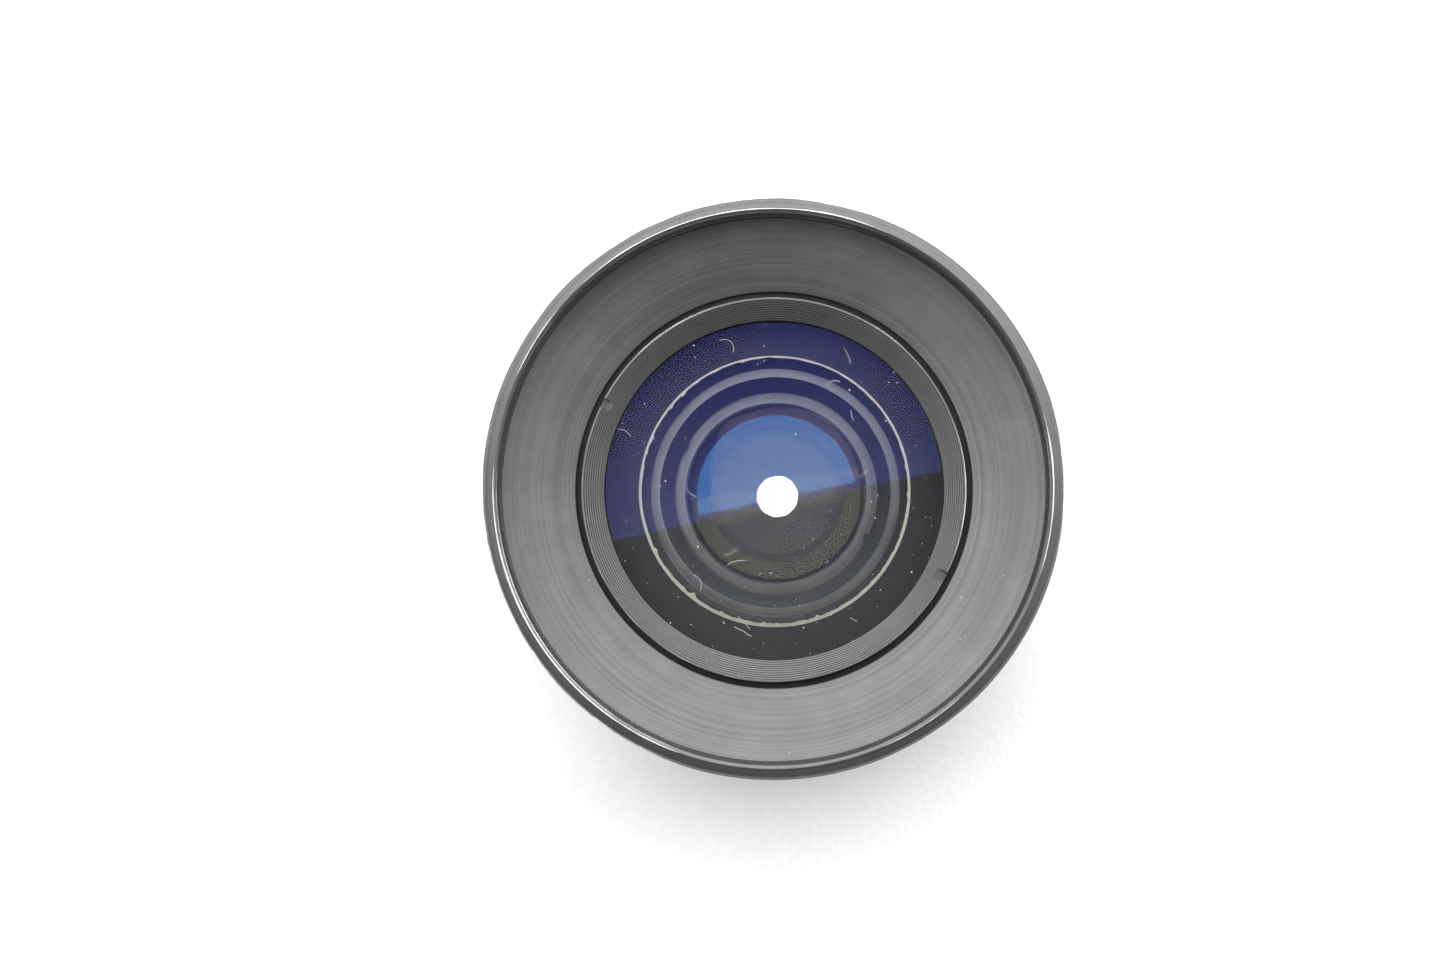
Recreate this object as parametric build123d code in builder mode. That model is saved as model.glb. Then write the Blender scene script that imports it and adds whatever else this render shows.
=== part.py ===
"""Enlarger lens: a wide-angle darkroom lens with a flared front, an M39 rear thread and a ten-blade iris.

Millimetres. The optical axis is Z. z = 0 is the flange face that rests on the enlarger's lens board,
the rear thread points down from it and the front glass faces up.
"""

from build123d import *
from math import asin, cos, degrees, radians, sin, sqrt
import os

# ---------------------------------------------------------------- driving dimensions

# fits and running clearances
turn_play = 0.05  # radial play of a turning ring
slide_play = 0.05  # axial play above and below a turning ring
fit_gap = 0.03  # radial gap round a piece that is screwed or dropped in
stud_play = 0.03  # radial play round an iris stud or the detent ball
cement_gap = 0.02  # layer of cement between two glasses
overcut = 1.0  # how far a cut runs on past the face it opens

# front bell and its filter thread
rim_radius = 29.0
rim_height = 38.0
rim_land = 1.1  # width of the worn front face of the rim
rim_drop = 0.4  # fall of that face towards the outside
rim_bevel = 0.25
rim_side = 4.1  # height of the straight side of the rim
filter_crest_radius = 27.15
filter_thread_depth = 0.4
filter_pitch = 0.75
filter_turns = 2
filter_lead = 0.35  # plain lead-in above the filter thread
funnel_gap = 0.63  # between the front retaining ring and the inner edge of the funnel plate
funnel_rise = 1.45  # rise of the funnel plate from its inner edge to the thread
plate_thickness = 0.65
bell_wall = 1.5
collar_wall = 2.85
collar_height = 6.9

# barrel
barrel_radius = 21.0
barrel_top = 24.0
groove_depth = 0.5  # V grooves that the set screws bite into
cell_bore_radius = 18.95
cell_bore_floor = 16.2
iris_bore_radius = 17.05
iris_floor = 9.0
rear_bore_radius = 15.03
rear_bore_floor = 6.0

# rear mount, M39 x 1
mount_thread_radius = 19.5
mount_pitch = 1.0
mount_thread_depth = 0.6
mount_thread_length = 5.0
mount_wall = 2.7
flange_height = 2.5
flange_reach = 1.0  # how far the flange stands out past the barrel and the thread
spigot_radius = 17.5
spigot_bore_radius = 15.6
spigot_height = 3.4
mount_lip_height = 3.5  # height of the inner lip that the rear cell hangs on

# index ring and click stop
index_wall = 2.95
index_height = 4.5
index_edge = 0.3
ball_radius = 0.75
ball_lift = 0.25
spring_wire_radius = 0.1
spring_radius = 0.5
spring_turns = 5
spring_room = 2.0  # height of the spring under the ball

# aperture ring
aperture_height = 10.0
aperture_wall = 3.95
aperture_edge = 0.35
knurl_count = 48
knurl_radius = 1.2
knurl_depth = 0.45
knurl_height = 4.8
knurl_margin = 0.6
scale_fall = 0.8  # fall of the engraved band towards its upper edge
aperture_stops = [4.5, 5.6, 8, 11, 16, 22]
rest_stop = 11
ring_travel = 50.0  # degrees from the widest stop to the smallest
drive_screw_angle = 180.0
drive_screw_radius = 0.6
drive_head_radius = 1.2
drive_head_height = 0.8

# iris
blade_count = 10
open_radius = 6.0
pivot_radius = 9.5
blade_thickness = 0.1
blade_pitch = 0.14
blade_tip_angle = 112.0
blade_heel_angle = -9.0
stud_radius = 0.35
stud_clearance = 0.25  # between a blade's outer edge and its neighbours' pivot studs
arm_length = 4.5
arm_angle = -75.0
arm_half_width = 0.65
boss_radius = 0.95
stud_depth = 0.9
base_ring_height = 1.9
cam_ring_height = 2.0
cam_ring_reach = 0.3  # from the pivot circle to the inside of the cam ring
cam_wall = 0.6  # metal between a cam slot and the tip of the drive screw
cam_slot_overrun = 0.6  # degrees of blade turn beyond each stop
cover_flange_height = 0.8
cover_cone_radius = 8.2
cover_throat_radius = 7.0

# glass: radius of curvature, thickness and edge of each element
meniscus_front_curve = 60.0
meniscus_rear_curve = 21.0
meniscus_thickness = 2.2
meniscus_radius = 18.2
meniscus_front_land = 0.7
meniscus_hollow_radius = 13.25
meniscus_depth = 2.5  # of the front glass below the rim
second_radius = 11.5
second_front_curve = 42.0
second_rear_curve = 60.0
second_edge = 2.8
second_land = 0.9
third_radius = 8.5
third_front_curve = 45.0
third_rear_curve = 120.0
third_edge = 1.8
third_land = 0.7
doublet_radius = 9.5
doublet_front_curve = 24.0
doublet_joint_curve = 26.0
doublet_rear_curve = 70.0
doublet_edge = 3.6
doublet_land = 0.8
crown_edge = 0.6
rear_radius = 11.0
rear_front_curve = 60.0
rear_rear_curve = 30.0
rear_edge = 3.2
rear_land = 1.0

# cells and retaining rings
front_ring_hold = 1.13  # how far the ring reaches in over the glass
front_ring_wall = 1.05  # how far it stands out past the glass
front_ring_skirt = 2.4
front_ring_rise = 2.0
front_ring_cone = 1.55  # height of the grooved cone
front_ring_edge = 0.2
ring_relief = 0.25  # keeps a ring's lip off the curved glass
ring_groove_count = 9
ring_groove_depth = 0.07
spanner_slot_width = 1.0
spanner_slot_depth = 0.7
spanner_slot_reach = 1.15
spanner_slot_angle = 153.0
cell_wall = 1.35
second_seat_height = 0.8
inner_ring_reach = 1.35  # how far the ring of the second lens reaches in over it
inner_ring_height = 1.8
inner_slot_reach = 0.6
third_ring_height = 0.55
spacer_radius = 15.0
spacer_land_radius = 12.03
spacer_foot_radius = 11.3
spacer_groove_count = 4
spacer_lip = 0.45
spacer_land_depth = 1.05
spacer_foot_edge = 0.3
rear_cell_flange_gap = 0.3
rear_cell_inset = 1.5  # of the rear cell inside the mount thread
rear_seat = 2.6
rear_seat_height = 1.0
doublet_ring_height = 1.1
retainer_height = 1.8

# set screws, M2
set_screw_count = 3
set_screw_radius = 1.0
set_screw_slot = 0.3
set_screw_slot_depth = 0.5
index_screw_start = 30.0
bell_screw_start = 90.0

# ---------------------------------------------------------------- places worked out from them

index_radius = barrel_radius + turn_play + index_wall
index_top = flange_height + index_height
aperture_bottom = index_top + slide_play
aperture_top = aperture_bottom + aperture_height
aperture_inner_radius = barrel_radius + turn_play
aperture_radius = aperture_inner_radius + aperture_wall
collar_bottom = aperture_top + slide_play
collar_inner_radius = barrel_radius + fit_gap
collar_radius = collar_inner_radius + collar_wall
collar_top = collar_bottom + collar_height

base_ring_top = iris_floor + base_ring_height
stack_bottom = base_ring_top + slide_play
stack_height = (blade_count - 1) * blade_pitch + blade_thickness
cam_bottom = stack_bottom + stack_height + slide_play
cam_top = cam_bottom + cam_ring_height
cam_middle = (cam_bottom + cam_top) / 2
cover_bottom = cam_top + slide_play
cover_top = cell_bore_floor + cover_flange_height
iris_ring_radius = iris_bore_radius - turn_play


def sag(curve, reach):
    """Depth of a sphere of the given radius of curvature at a distance from the axis."""
    return curve - sqrt(curve**2 - reach**2)


def polar(radius, angle):
    """A point in the plane of the iris from its distance and its bearing in degrees."""
    return (radius * cos(radians(angle)), radius * sin(radians(angle)))


def screw_plane(bearing, height, distance):
    """Plane across a radial screw, facing outwards at a distance from the optical axis."""
    outwards = (*polar(1, bearing), 0)
    return Plane(origin=(*polar(distance, bearing), height), x_dir=(0, 0, 1), z_dir=outwards)


def thread_outline(crest, depth, pitch, bottom, turns):
    """Points up the side of a thread made of V rings. A negative depth cuts an inside thread."""
    land = pitch / 4
    points = []
    for turn in range(turns):
        foot = bottom + turn * pitch
        points.append((crest, foot))
        points.append((crest, foot + land))
        points.append((crest - depth, foot + (land + pitch) / 2))
    points.append((crest, bottom + turns * pitch))
    points.append((crest, bottom + turns * pitch + land))
    return points


def grooved_cone(start, end, grooves, depth):
    """Points along a turned cone with fine V grooves cut straight down into it."""
    points = []
    for groove in range(grooves):
        for share, cut in ((0.0, 0.0), (0.5, depth)):
            along = (groove + share) / grooves
            radius = start[0] + along * (end[0] - start[0])
            points.append((radius, start[1] + along * (end[1] - start[1]) - cut))
    points.append(end)
    return points


def arc_through(vertex, curve, reach):
    """Three points of a glass surface from the axis outwards. A positive curve domes upwards."""
    bend = 1 if curve > 0 else -1
    size = abs(curve)
    middle = (reach / 2, vertex - bend * sag(size, reach / 2))
    edge = (reach, vertex - bend * sag(size, reach))
    return (0, vertex), middle, edge


def element(front, front_flat, rear, rear_flat, radius):
    """A lens turned from its two surfaces, each given by arc_through, and its ground edge."""
    with BuildPart() as glass:
        with BuildSketch(Plane.XZ):
            with BuildLine():
                ThreePointArc(*front)
                Polyline(front[-1], (radius, front_flat), (radius, rear_flat), rear[-1])
                ThreePointArc(*rear)
                Line(rear[0], front[0])
            make_face()
        revolve(axis=Axis.Z)
    return glass.part


def stop_turn(stop):
    """Blade turn in degrees from wide open that leaves the opening of an aperture stop."""
    opening = open_radius * aperture_stops[0] / stop
    return degrees(2 * asin((open_radius - opening) / (2 * pivot_radius)))


blade_travel = stop_turn(aperture_stops[-1])
blade_ratio = blade_travel / ring_travel
rest_blade_turn = stop_turn(rest_stop)
rest_ring_turn = rest_blade_turn / blade_ratio


def drive_stud(turn):
    """Centre of the first blade's drive stud when the blade has turned in from wide open."""
    arm = polar(arm_length, arm_angle + turn)
    return (pivot_radius + arm[0], arm[1])


def cam_point(turn):
    """The same stud seen from the cam ring as it stands at the rest stop."""
    x, y = drive_stud(turn)
    swing = radians(rest_ring_turn - turn / blade_ratio)
    return (x * cos(swing) - y * sin(swing), x * sin(swing) + y * cos(swing))


stud_reach = sqrt(sum(value**2 for value in drive_stud(blade_travel + cam_slot_overrun)))
slot_radius = stud_radius + stud_play
drive_tip_radius = stud_reach + slot_radius + fit_gap + cam_wall

thread_height = filter_turns * filter_pitch + filter_pitch / 4
front_ring_inner_radius = meniscus_radius - front_ring_hold
front_ring_outer_radius = meniscus_radius + front_ring_wall
funnel_radius = front_ring_outer_radius + funnel_gap
funnel_outer_height = rim_height - filter_lead - rim_drop - thread_height
funnel_inner_height = funnel_outer_height - funnel_rise

meniscus_vertex = rim_height - meniscus_depth
meniscus_front_reach = meniscus_radius - meniscus_front_land
meniscus_front_flat = meniscus_vertex - sag(meniscus_front_curve, meniscus_front_reach)
meniscus_rear_vertex = meniscus_vertex - meniscus_thickness
meniscus_rear_flat = meniscus_rear_vertex - sag(meniscus_rear_curve, meniscus_hollow_radius)

third_rear_flat = cover_top + third_ring_height + slide_play
third_front_flat = third_rear_flat + third_edge
second_rear_flat = third_front_flat + second_seat_height
second_front_flat = second_rear_flat + second_edge
inner_ring_top = second_front_flat + inner_ring_height
inner_ring_radius = second_radius - inner_ring_reach
cell_radius = front_ring_outer_radius + cell_wall
cell_top = funnel_inner_height - plate_thickness - slide_play

# ---------------------------------------------------------------- front bell

bell_flare_top = rim_height - rim_drop - rim_side
bell_inside_radius = rim_radius - bell_wall
plate_slope = funnel_rise / (filter_crest_radius - funnel_radius)
plate_root_radius = filter_crest_radius - bell_wall
plate_root = funnel_inner_height + plate_slope * (plate_root_radius - funnel_radius)
bell_outline = [
    (collar_inner_radius, collar_bottom),
    (collar_radius, collar_bottom),
    (collar_radius, collar_top),
    (rim_radius, bell_flare_top),
    (rim_radius, rim_height - rim_drop),
    (rim_radius - rim_bevel, rim_height - rim_drop),
    (rim_radius - rim_land, rim_height),
    (filter_crest_radius + filter_thread_depth, rim_height - filter_lead / 2),
    *reversed(
        thread_outline(
            filter_crest_radius,
            -filter_thread_depth,
            filter_pitch,
            funnel_outer_height,
            filter_turns,
        )
    ),
    (funnel_radius, funnel_inner_height),
    (funnel_radius, funnel_inner_height - plate_thickness),
    (plate_root_radius, plate_root - plate_thickness),
    (bell_inside_radius, bell_flare_top - bell_wall / 2),
    (collar_radius - bell_wall, collar_top),
    (collar_inner_radius, collar_top),
]
bell_screw_height = (collar_bottom + collar_top) / 2

with BuildPart() as front_bell:
    with BuildSketch(Plane.XZ):
        with BuildLine():
            Polyline(*bell_outline, close=True)
        make_face()
    revolve(axis=Axis.Z)
    for screw in range(set_screw_count):
        bearing = bell_screw_start + screw * 360 / set_screw_count
        with BuildSketch(screw_plane(bearing, bell_screw_height, 0)):
            Circle(set_screw_radius + fit_gap)
        extrude(amount=collar_radius + overcut, mode=Mode.SUBTRACT)
front_bell.part.label = "front_bell"

# ---------------------------------------------------------------- main barrel

index_screw_height = flange_height + index_height / 2
barrel_outline = [
    (spigot_radius + fit_gap, flange_height),
    (barrel_radius, flange_height),
    (barrel_radius, index_screw_height - groove_depth),
    (barrel_radius - groove_depth, index_screw_height),
    (barrel_radius, index_screw_height + groove_depth),
    (barrel_radius, bell_screw_height - groove_depth),
    (barrel_radius - groove_depth, bell_screw_height),
    (barrel_radius, bell_screw_height + groove_depth),
    (barrel_radius, barrel_top),
    (cell_bore_radius, barrel_top),
    (cell_bore_radius, cell_bore_floor),
    (iris_bore_radius, cell_bore_floor),
    (iris_bore_radius, iris_floor),
    (rear_bore_radius, iris_floor),
    (rear_bore_radius, rear_bore_floor),
    (spigot_radius + fit_gap, rear_bore_floor),
]
slot_half_height = drive_screw_radius + 2 * turn_play
slot_margin = degrees((drive_screw_radius + 2 * turn_play) / iris_bore_radius)
slot_start = drive_screw_angle - rest_ring_turn - slot_margin
slot_sweep = ring_travel + 2 * slot_margin

with BuildPart() as main_barrel:
    with BuildSketch(Plane.XZ):
        with BuildLine():
            Polyline(*barrel_outline, close=True)
        make_face()
    revolve(axis=Axis.Z)
    with BuildSketch(Plane.XY.offset(cam_middle - slot_half_height)):
        with BuildLine():
            inside = CenterArc((0, 0), iris_bore_radius - overcut, slot_start, slot_sweep)
            outside = CenterArc((0, 0), barrel_radius + overcut, slot_start, slot_sweep)
            Line(inside @ 0, outside @ 0)
            Line(inside @ 1, outside @ 1)
        make_face()
    extrude(amount=2 * slot_half_height, mode=Mode.SUBTRACT)
main_barrel.part.label = "main_barrel"

# ---------------------------------------------------------------- rear mount

mount_foot = -mount_thread_length
mount_turns = int(mount_thread_length / mount_pitch) - 1
thread_start = -mount_turns * mount_pitch - mount_pitch / 4
flange_radius = max(barrel_radius, mount_thread_radius) + flange_reach
mount_bore_radius = mount_thread_radius - mount_wall
mount_lip_bottom = flange_height - mount_lip_height
mount_outline = [
    (mount_bore_radius, mount_foot),
    (mount_thread_radius - mount_thread_depth, mount_foot),
    *thread_outline(
        mount_thread_radius, mount_thread_depth, mount_pitch, thread_start, mount_turns
    ),
    (flange_radius, 0),
    (flange_radius, flange_height),
    (spigot_radius, flange_height),
    (spigot_radius, flange_height + spigot_height),
    (spigot_bore_radius, flange_height + spigot_height),
    (spigot_bore_radius, mount_lip_bottom),
    (mount_bore_radius, mount_lip_bottom),
]

with BuildPart() as mount_ring:
    with BuildSketch(Plane.XZ):
        with BuildLine():
            Polyline(*mount_outline, close=True)
        make_face()
    revolve(axis=Axis.Z)
mount_ring.part.label = "mount_ring"

# ---------------------------------------------------------------- index ring and its click stop

ball_rest_height = index_top - ball_radius
ball_seat = ball_rest_height - ball_radius
spring_floor = ball_seat - spring_room
detent_radius = (barrel_radius + turn_play + index_radius) / 2
detent_bearing = 0.0
pocket_radius = ball_radius + stud_play

with BuildPart() as index_ring:
    with BuildSketch(Plane.XY.offset(flange_height)):
        Circle(index_radius)
        Circle(barrel_radius + fit_gap, mode=Mode.SUBTRACT)
    extrude(amount=index_height)
    outer_edges = index_ring.edges().filter_by(GeomType.CIRCLE).sort_by(SortBy.RADIUS)[-2:]
    chamfer(outer_edges, length=index_edge)
    with BuildSketch(Plane.XY.offset(spring_floor)):
        with Locations(polar(detent_radius, detent_bearing)):
            Circle(pocket_radius)
    extrude(amount=index_top - spring_floor, mode=Mode.SUBTRACT)
    for screw in range(set_screw_count):
        bearing = index_screw_start + screw * 360 / set_screw_count
        with BuildSketch(screw_plane(bearing, index_screw_height, 0)):
            Circle(set_screw_radius + fit_gap)
        extrude(amount=index_radius + overcut, mode=Mode.SUBTRACT)
index_ring.part.label = "index_ring"

with BuildPart() as detent_ball:
    with Locations((*polar(detent_radius, detent_bearing), ball_rest_height)):
        Sphere(ball_radius)
detent_ball.part.label = "detent_ball"

spring_low = spring_floor + spring_wire_radius + slide_play
spring_rise = spring_room - 2 * spring_wire_radius - 2 * slide_play
with BuildPart() as detent_spring:
    with BuildLine() as coil:
        Helix(
            pitch=spring_rise / spring_turns,
            height=spring_rise,
            radius=spring_radius,
            center=(*polar(detent_radius, detent_bearing), spring_low),
        )
    with BuildSketch(Plane(origin=coil.wire() @ 0, z_dir=coil.wire() % 0)):
        Circle(spring_wire_radius)
    sweep(path=coil.wire(), is_frenet=True)
detent_spring.part.label = "detent_spring"

# ---------------------------------------------------------------- aperture ring

knurl_bottom = aperture_bottom + knurl_margin
knurl_top = knurl_bottom + knurl_height
aperture_outline = [
    (aperture_inner_radius, aperture_bottom),
    (aperture_radius - aperture_edge, aperture_bottom),
    (aperture_radius, aperture_bottom + aperture_edge),
    (aperture_radius, knurl_top + knurl_margin),
    (aperture_radius - aperture_edge, knurl_top + knurl_margin + aperture_edge),
    (aperture_radius - aperture_edge - scale_fall, aperture_top),
    (aperture_inner_radius, aperture_top),
]
notch_height = ball_rest_height + ball_lift
head_seat = aperture_radius - knurl_depth - drive_head_height
drive_plane = screw_plane(drive_screw_angle, cam_middle, 0)

with BuildPart() as aperture_ring:
    with BuildSketch(Plane.XZ):
        with BuildLine():
            Polyline(*aperture_outline, close=True)
        make_face()
    revolve(axis=Axis.Z)
    with BuildSketch(Plane.XY.offset(knurl_bottom)):
        with PolarLocations(aperture_radius + knurl_radius - knurl_depth, knurl_count):
            Circle(knurl_radius)
    extrude(amount=knurl_height, mode=Mode.SUBTRACT)
    for stop in aperture_stops:
        ring_turn = stop_turn(stop) / blade_ratio
        bearing = detent_bearing + rest_ring_turn - ring_turn
        with Locations((*polar(detent_radius, bearing), notch_height)):
            Sphere(pocket_radius, mode=Mode.SUBTRACT)
    with BuildSketch(drive_plane):
        Circle(drive_screw_radius + fit_gap)
    extrude(amount=aperture_radius + overcut, mode=Mode.SUBTRACT)
    with BuildSketch(drive_plane.offset(head_seat)):
        Circle(drive_head_radius + fit_gap)
    extrude(amount=drive_head_height + overcut, mode=Mode.SUBTRACT)
aperture_ring.part.label = "aperture_ring"

with BuildPart() as aperture_drive_screw:
    with BuildSketch(drive_plane.offset(drive_tip_radius)):
        Circle(drive_screw_radius)
    extrude(amount=head_seat - drive_tip_radius)
    with BuildSketch(drive_plane.offset(head_seat)):
        Circle(drive_head_radius)
    extrude(amount=drive_head_height - knurl_depth / 2)
    with BuildSketch(drive_plane.offset(head_seat + drive_head_height / 3)):
        Rectangle(set_screw_slot, 3 * drive_head_radius)
    extrude(amount=drive_head_height, mode=Mode.SUBTRACT)
aperture_drive_screw.part.label = "aperture_drive_screw"

# ---------------------------------------------------------------- iris

blade_outer_radius = pivot_radius - stud_radius - stud_clearance
blade_middle_radius = (open_radius + blade_outer_radius) / 2
blade_bearings = [blade * 360 / blade_count for blade in range(blade_count)]

with BuildPart() as iris_base_ring:
    with BuildSketch(Plane.XY.offset(iris_floor)):
        Circle(iris_bore_radius - fit_gap)
        Circle(open_radius, mode=Mode.SUBTRACT)
    extrude(amount=base_ring_height)
    inner_edge = iris_base_ring.edges().filter_by(GeomType.CIRCLE).group_by(Axis.Z)[0]
    chamfer(inner_edge.sort_by(SortBy.RADIUS)[0], length=base_ring_height / 2)
    with BuildSketch(Plane.XY.offset(base_ring_top - stud_depth - slide_play)):
        with PolarLocations(pivot_radius, blade_count):
            Circle(stud_radius + stud_play)
    extrude(amount=stud_depth + slide_play, mode=Mode.SUBTRACT)
iris_base_ring.part.label = "iris_base_ring"

blade_span = blade_tip_angle - blade_heel_angle
root_length = pivot_radius - blade_middle_radius
iris_blades = []
for blade, bearing in enumerate(blade_bearings):
    blade_bottom = stack_bottom + blade * blade_pitch
    stud_foot = base_ring_top - stud_depth
    stud_top = cam_bottom + stud_depth
    # The blade is drawn about its pivot stud, turned in from wide open to the rest stop.
    leaf_plane = Plane(
        origin=(*polar(pivot_radius, bearing), blade_bottom),
        x_dir=(*polar(1, bearing + rest_blade_turn), 0),
        z_dir=(0, 0, 1),
    )
    with BuildPart() as iris_blade:
        with BuildSketch(leaf_plane):
            with BuildLine():
                inner = CenterArc((-pivot_radius, 0), open_radius, blade_heel_angle, blade_span)
                outer = CenterArc(
                    (-pivot_radius, 0), blade_outer_radius, blade_heel_angle, blade_span
                )
                Line(inner @ 0, outer @ 0)
                Line(inner @ 1, outer @ 1)
            make_face()
            with Locations((-root_length / 2, 0)):
                SlotCenterToCenter(root_length, 2 * boss_radius)
            with Locations(polar(arm_length / 2, arm_angle)):
                SlotCenterToCenter(arm_length, 2 * arm_half_width, rotation=arm_angle)
        extrude(amount=blade_thickness)
        with BuildSketch(leaf_plane.offset(stud_foot - blade_bottom)):
            Circle(stud_radius)
        extrude(amount=blade_bottom - stud_foot)
        with BuildSketch(leaf_plane.offset(blade_thickness)):
            with Locations(polar(arm_length, arm_angle)):
                Circle(stud_radius)
        extrude(amount=stud_top - blade_bottom - blade_thickness)
    iris_blade.part.label = f"iris_blade_{blade + 1:02d}"
    iris_blades.append(iris_blade.part)

cam_inner_radius = pivot_radius + cam_ring_reach
cam_slot_turns = (-cam_slot_overrun, blade_travel / 2, blade_travel + cam_slot_overrun)
with BuildLine() as cam_path:
    ThreePointArc(*[cam_point(turn) for turn in cam_slot_turns])

with BuildPart() as iris_cam_ring:
    with BuildSketch(Plane.XY.offset(cam_bottom)):
        Circle(iris_ring_radius)
        Circle(cam_inner_radius, mode=Mode.SUBTRACT)
    extrude(amount=cam_ring_height)
    for bearing in blade_bearings:
        with BuildSketch(Plane.XY.rotated((0, 0, bearing)).offset(cam_bottom)):
            SlotArc(cam_path.edge(), 2 * slot_radius)
        extrude(amount=cam_ring_height, mode=Mode.SUBTRACT)
    with BuildSketch(drive_plane.offset(drive_tip_radius - fit_gap)):
        Circle(drive_screw_radius + fit_gap)
    extrude(amount=iris_ring_radius, mode=Mode.SUBTRACT)
iris_cam_ring.part.label = "iris_cam_ring"

cover_outline = [
    (cover_throat_radius, cover_bottom),
    (iris_bore_radius - fit_gap, cover_bottom),
    (iris_bore_radius - fit_gap, cell_bore_floor),
    (cell_bore_radius - fit_gap, cell_bore_floor),
    (cell_bore_radius - fit_gap, cover_top),
    (cover_cone_radius, cover_top),
]
with BuildPart() as iris_cover_ring:
    with BuildSketch(Plane.XZ):
        with BuildLine():
            Polyline(*cover_outline, close=True)
        make_face()
    revolve(axis=Axis.Z)
iris_cover_ring.part.label = "iris_cover_ring"

# ---------------------------------------------------------------- front cell, its rings and spacer

ring_skirt_bottom = meniscus_front_flat - front_ring_skirt
ring_top = meniscus_front_flat + front_ring_rise
ring_thread_radius = front_ring_outer_radius + fit_gap
second_bore = second_radius + fit_gap
third_bore = third_radius + fit_gap
spacer_bore = spacer_radius + fit_gap
cell_outline = [
    (third_bore, cover_top),
    (cell_bore_radius - fit_gap, cover_top),
    (cell_bore_radius - fit_gap, barrel_top),
    (cell_radius, barrel_top),
    (cell_radius, cell_top),
    (ring_thread_radius, cell_top),
    (ring_thread_radius, ring_skirt_bottom - slide_play),
    (meniscus_radius + fit_gap, ring_skirt_bottom - slide_play),
    (meniscus_radius + fit_gap, meniscus_rear_flat),
    (spacer_bore, meniscus_rear_flat),
    (spacer_bore, inner_ring_top + slide_play),
    (second_bore, inner_ring_top + slide_play),
    (second_bore, second_rear_flat),
    (second_radius - second_land, second_rear_flat),
    (third_radius - third_land, third_front_flat),
    (third_bore, third_front_flat),
]
with BuildPart() as front_cell:
    with BuildSketch(Plane.XZ):
        with BuildLine():
            Polyline(*cell_outline, close=True)
        make_face()
    revolve(axis=Axis.Z)
front_cell.part.label = "front_cell"

ring_groove_start = (front_ring_inner_radius, ring_top - front_ring_cone)
ring_groove_end = (front_ring_outer_radius - front_ring_edge, ring_top)
ring_outline = [
    (front_ring_inner_radius, meniscus_front_flat + ring_relief),
    *grooved_cone(ring_groove_start, ring_groove_end, ring_groove_count, ring_groove_depth),
    (front_ring_outer_radius, ring_top),
    (front_ring_outer_radius, ring_skirt_bottom),
    (meniscus_radius + fit_gap, ring_skirt_bottom),
    (meniscus_radius + fit_gap, meniscus_front_flat),
    (meniscus_front_reach, meniscus_front_flat),
]
slot_plane = Plane.XY.rotated((0, 0, spanner_slot_angle))
with BuildPart() as front_retaining_ring:
    with BuildSketch(Plane.XZ):
        with BuildLine():
            Polyline(*ring_outline, close=True)
        make_face()
    revolve(axis=Axis.Z)
    with BuildSketch(slot_plane.offset(ring_top - spanner_slot_depth)):
        with PolarLocations(front_ring_outer_radius, 2):
            Rectangle(2 * spanner_slot_reach, spanner_slot_width)
    extrude(amount=spanner_slot_depth + overcut, mode=Mode.SUBTRACT)
front_retaining_ring.part.label = "front_retaining_ring"

spacer_top = meniscus_rear_flat - slide_play
spacer_land_height = spacer_top - spacer_land_depth
spacer_foot_height = inner_ring_top + slide_play
spacer_outline = [
    (meniscus_hollow_radius, spacer_top),
    (meniscus_hollow_radius - spacer_lip, spacer_land_height),
    *reversed(
        grooved_cone(
            (spacer_foot_radius, spacer_foot_height + spacer_foot_edge),
            (spacer_land_radius, spacer_land_height),
            spacer_groove_count,
            ring_groove_depth,
        )
    ),
    (spacer_foot_radius, spacer_foot_height),
    (spacer_radius, spacer_foot_height),
    (spacer_radius, spacer_top),
]
with BuildPart() as baffle_spacer:
    with BuildSketch(Plane.XZ):
        with BuildLine():
            Polyline(*spacer_outline, close=True)
        make_face()
    revolve(axis=Axis.Z)
baffle_spacer.part.label = "baffle_spacer"

inner_ring_outline = [
    (second_radius - second_land, second_front_flat),
    (inner_ring_radius, second_front_flat + 2 * ring_relief),
    (inner_ring_radius, inner_ring_top),
    (second_radius, inner_ring_top),
    (second_radius, second_front_flat),
]
with BuildPart() as inner_retaining_ring:
    with BuildSketch(Plane.XZ):
        with BuildLine():
            Polyline(*inner_ring_outline, close=True)
        make_face()
    revolve(axis=Axis.Z)
    with BuildSketch(slot_plane.offset(inner_ring_top - spanner_slot_depth)):
        with PolarLocations(second_radius, 2):
            Rectangle(2 * inner_slot_reach, spanner_slot_width)
    extrude(amount=spanner_slot_depth, mode=Mode.SUBTRACT)
inner_retaining_ring.part.label = "inner_retaining_ring"

with BuildPart() as third_lens_ring:
    with BuildSketch(Plane.XY.offset(cover_top + slide_play)):
        Circle(third_radius)
        Circle(third_radius - third_land, mode=Mode.SUBTRACT)
    extrude(amount=third_ring_height)
third_lens_ring.part.label = "third_lens_ring"

# ---------------------------------------------------------------- glass of the front group

front_meniscus = element(
    arc_through(meniscus_vertex, meniscus_front_curve, meniscus_front_reach),
    meniscus_front_flat,
    arc_through(meniscus_rear_vertex, meniscus_rear_curve, meniscus_hollow_radius),
    meniscus_rear_flat,
    meniscus_radius,
)
front_meniscus.label = "front_meniscus"

second_reach = second_radius - second_land
second_front_vertex = second_front_flat + sag(second_front_curve, second_reach)
second_rear_vertex = second_rear_flat - sag(second_rear_curve, second_reach)
second_lens = element(
    arc_through(second_front_vertex, second_front_curve, second_reach),
    second_front_flat,
    arc_through(second_rear_vertex, -second_rear_curve, second_reach),
    second_rear_flat,
    second_radius,
)
second_lens.label = "second_lens"

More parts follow.
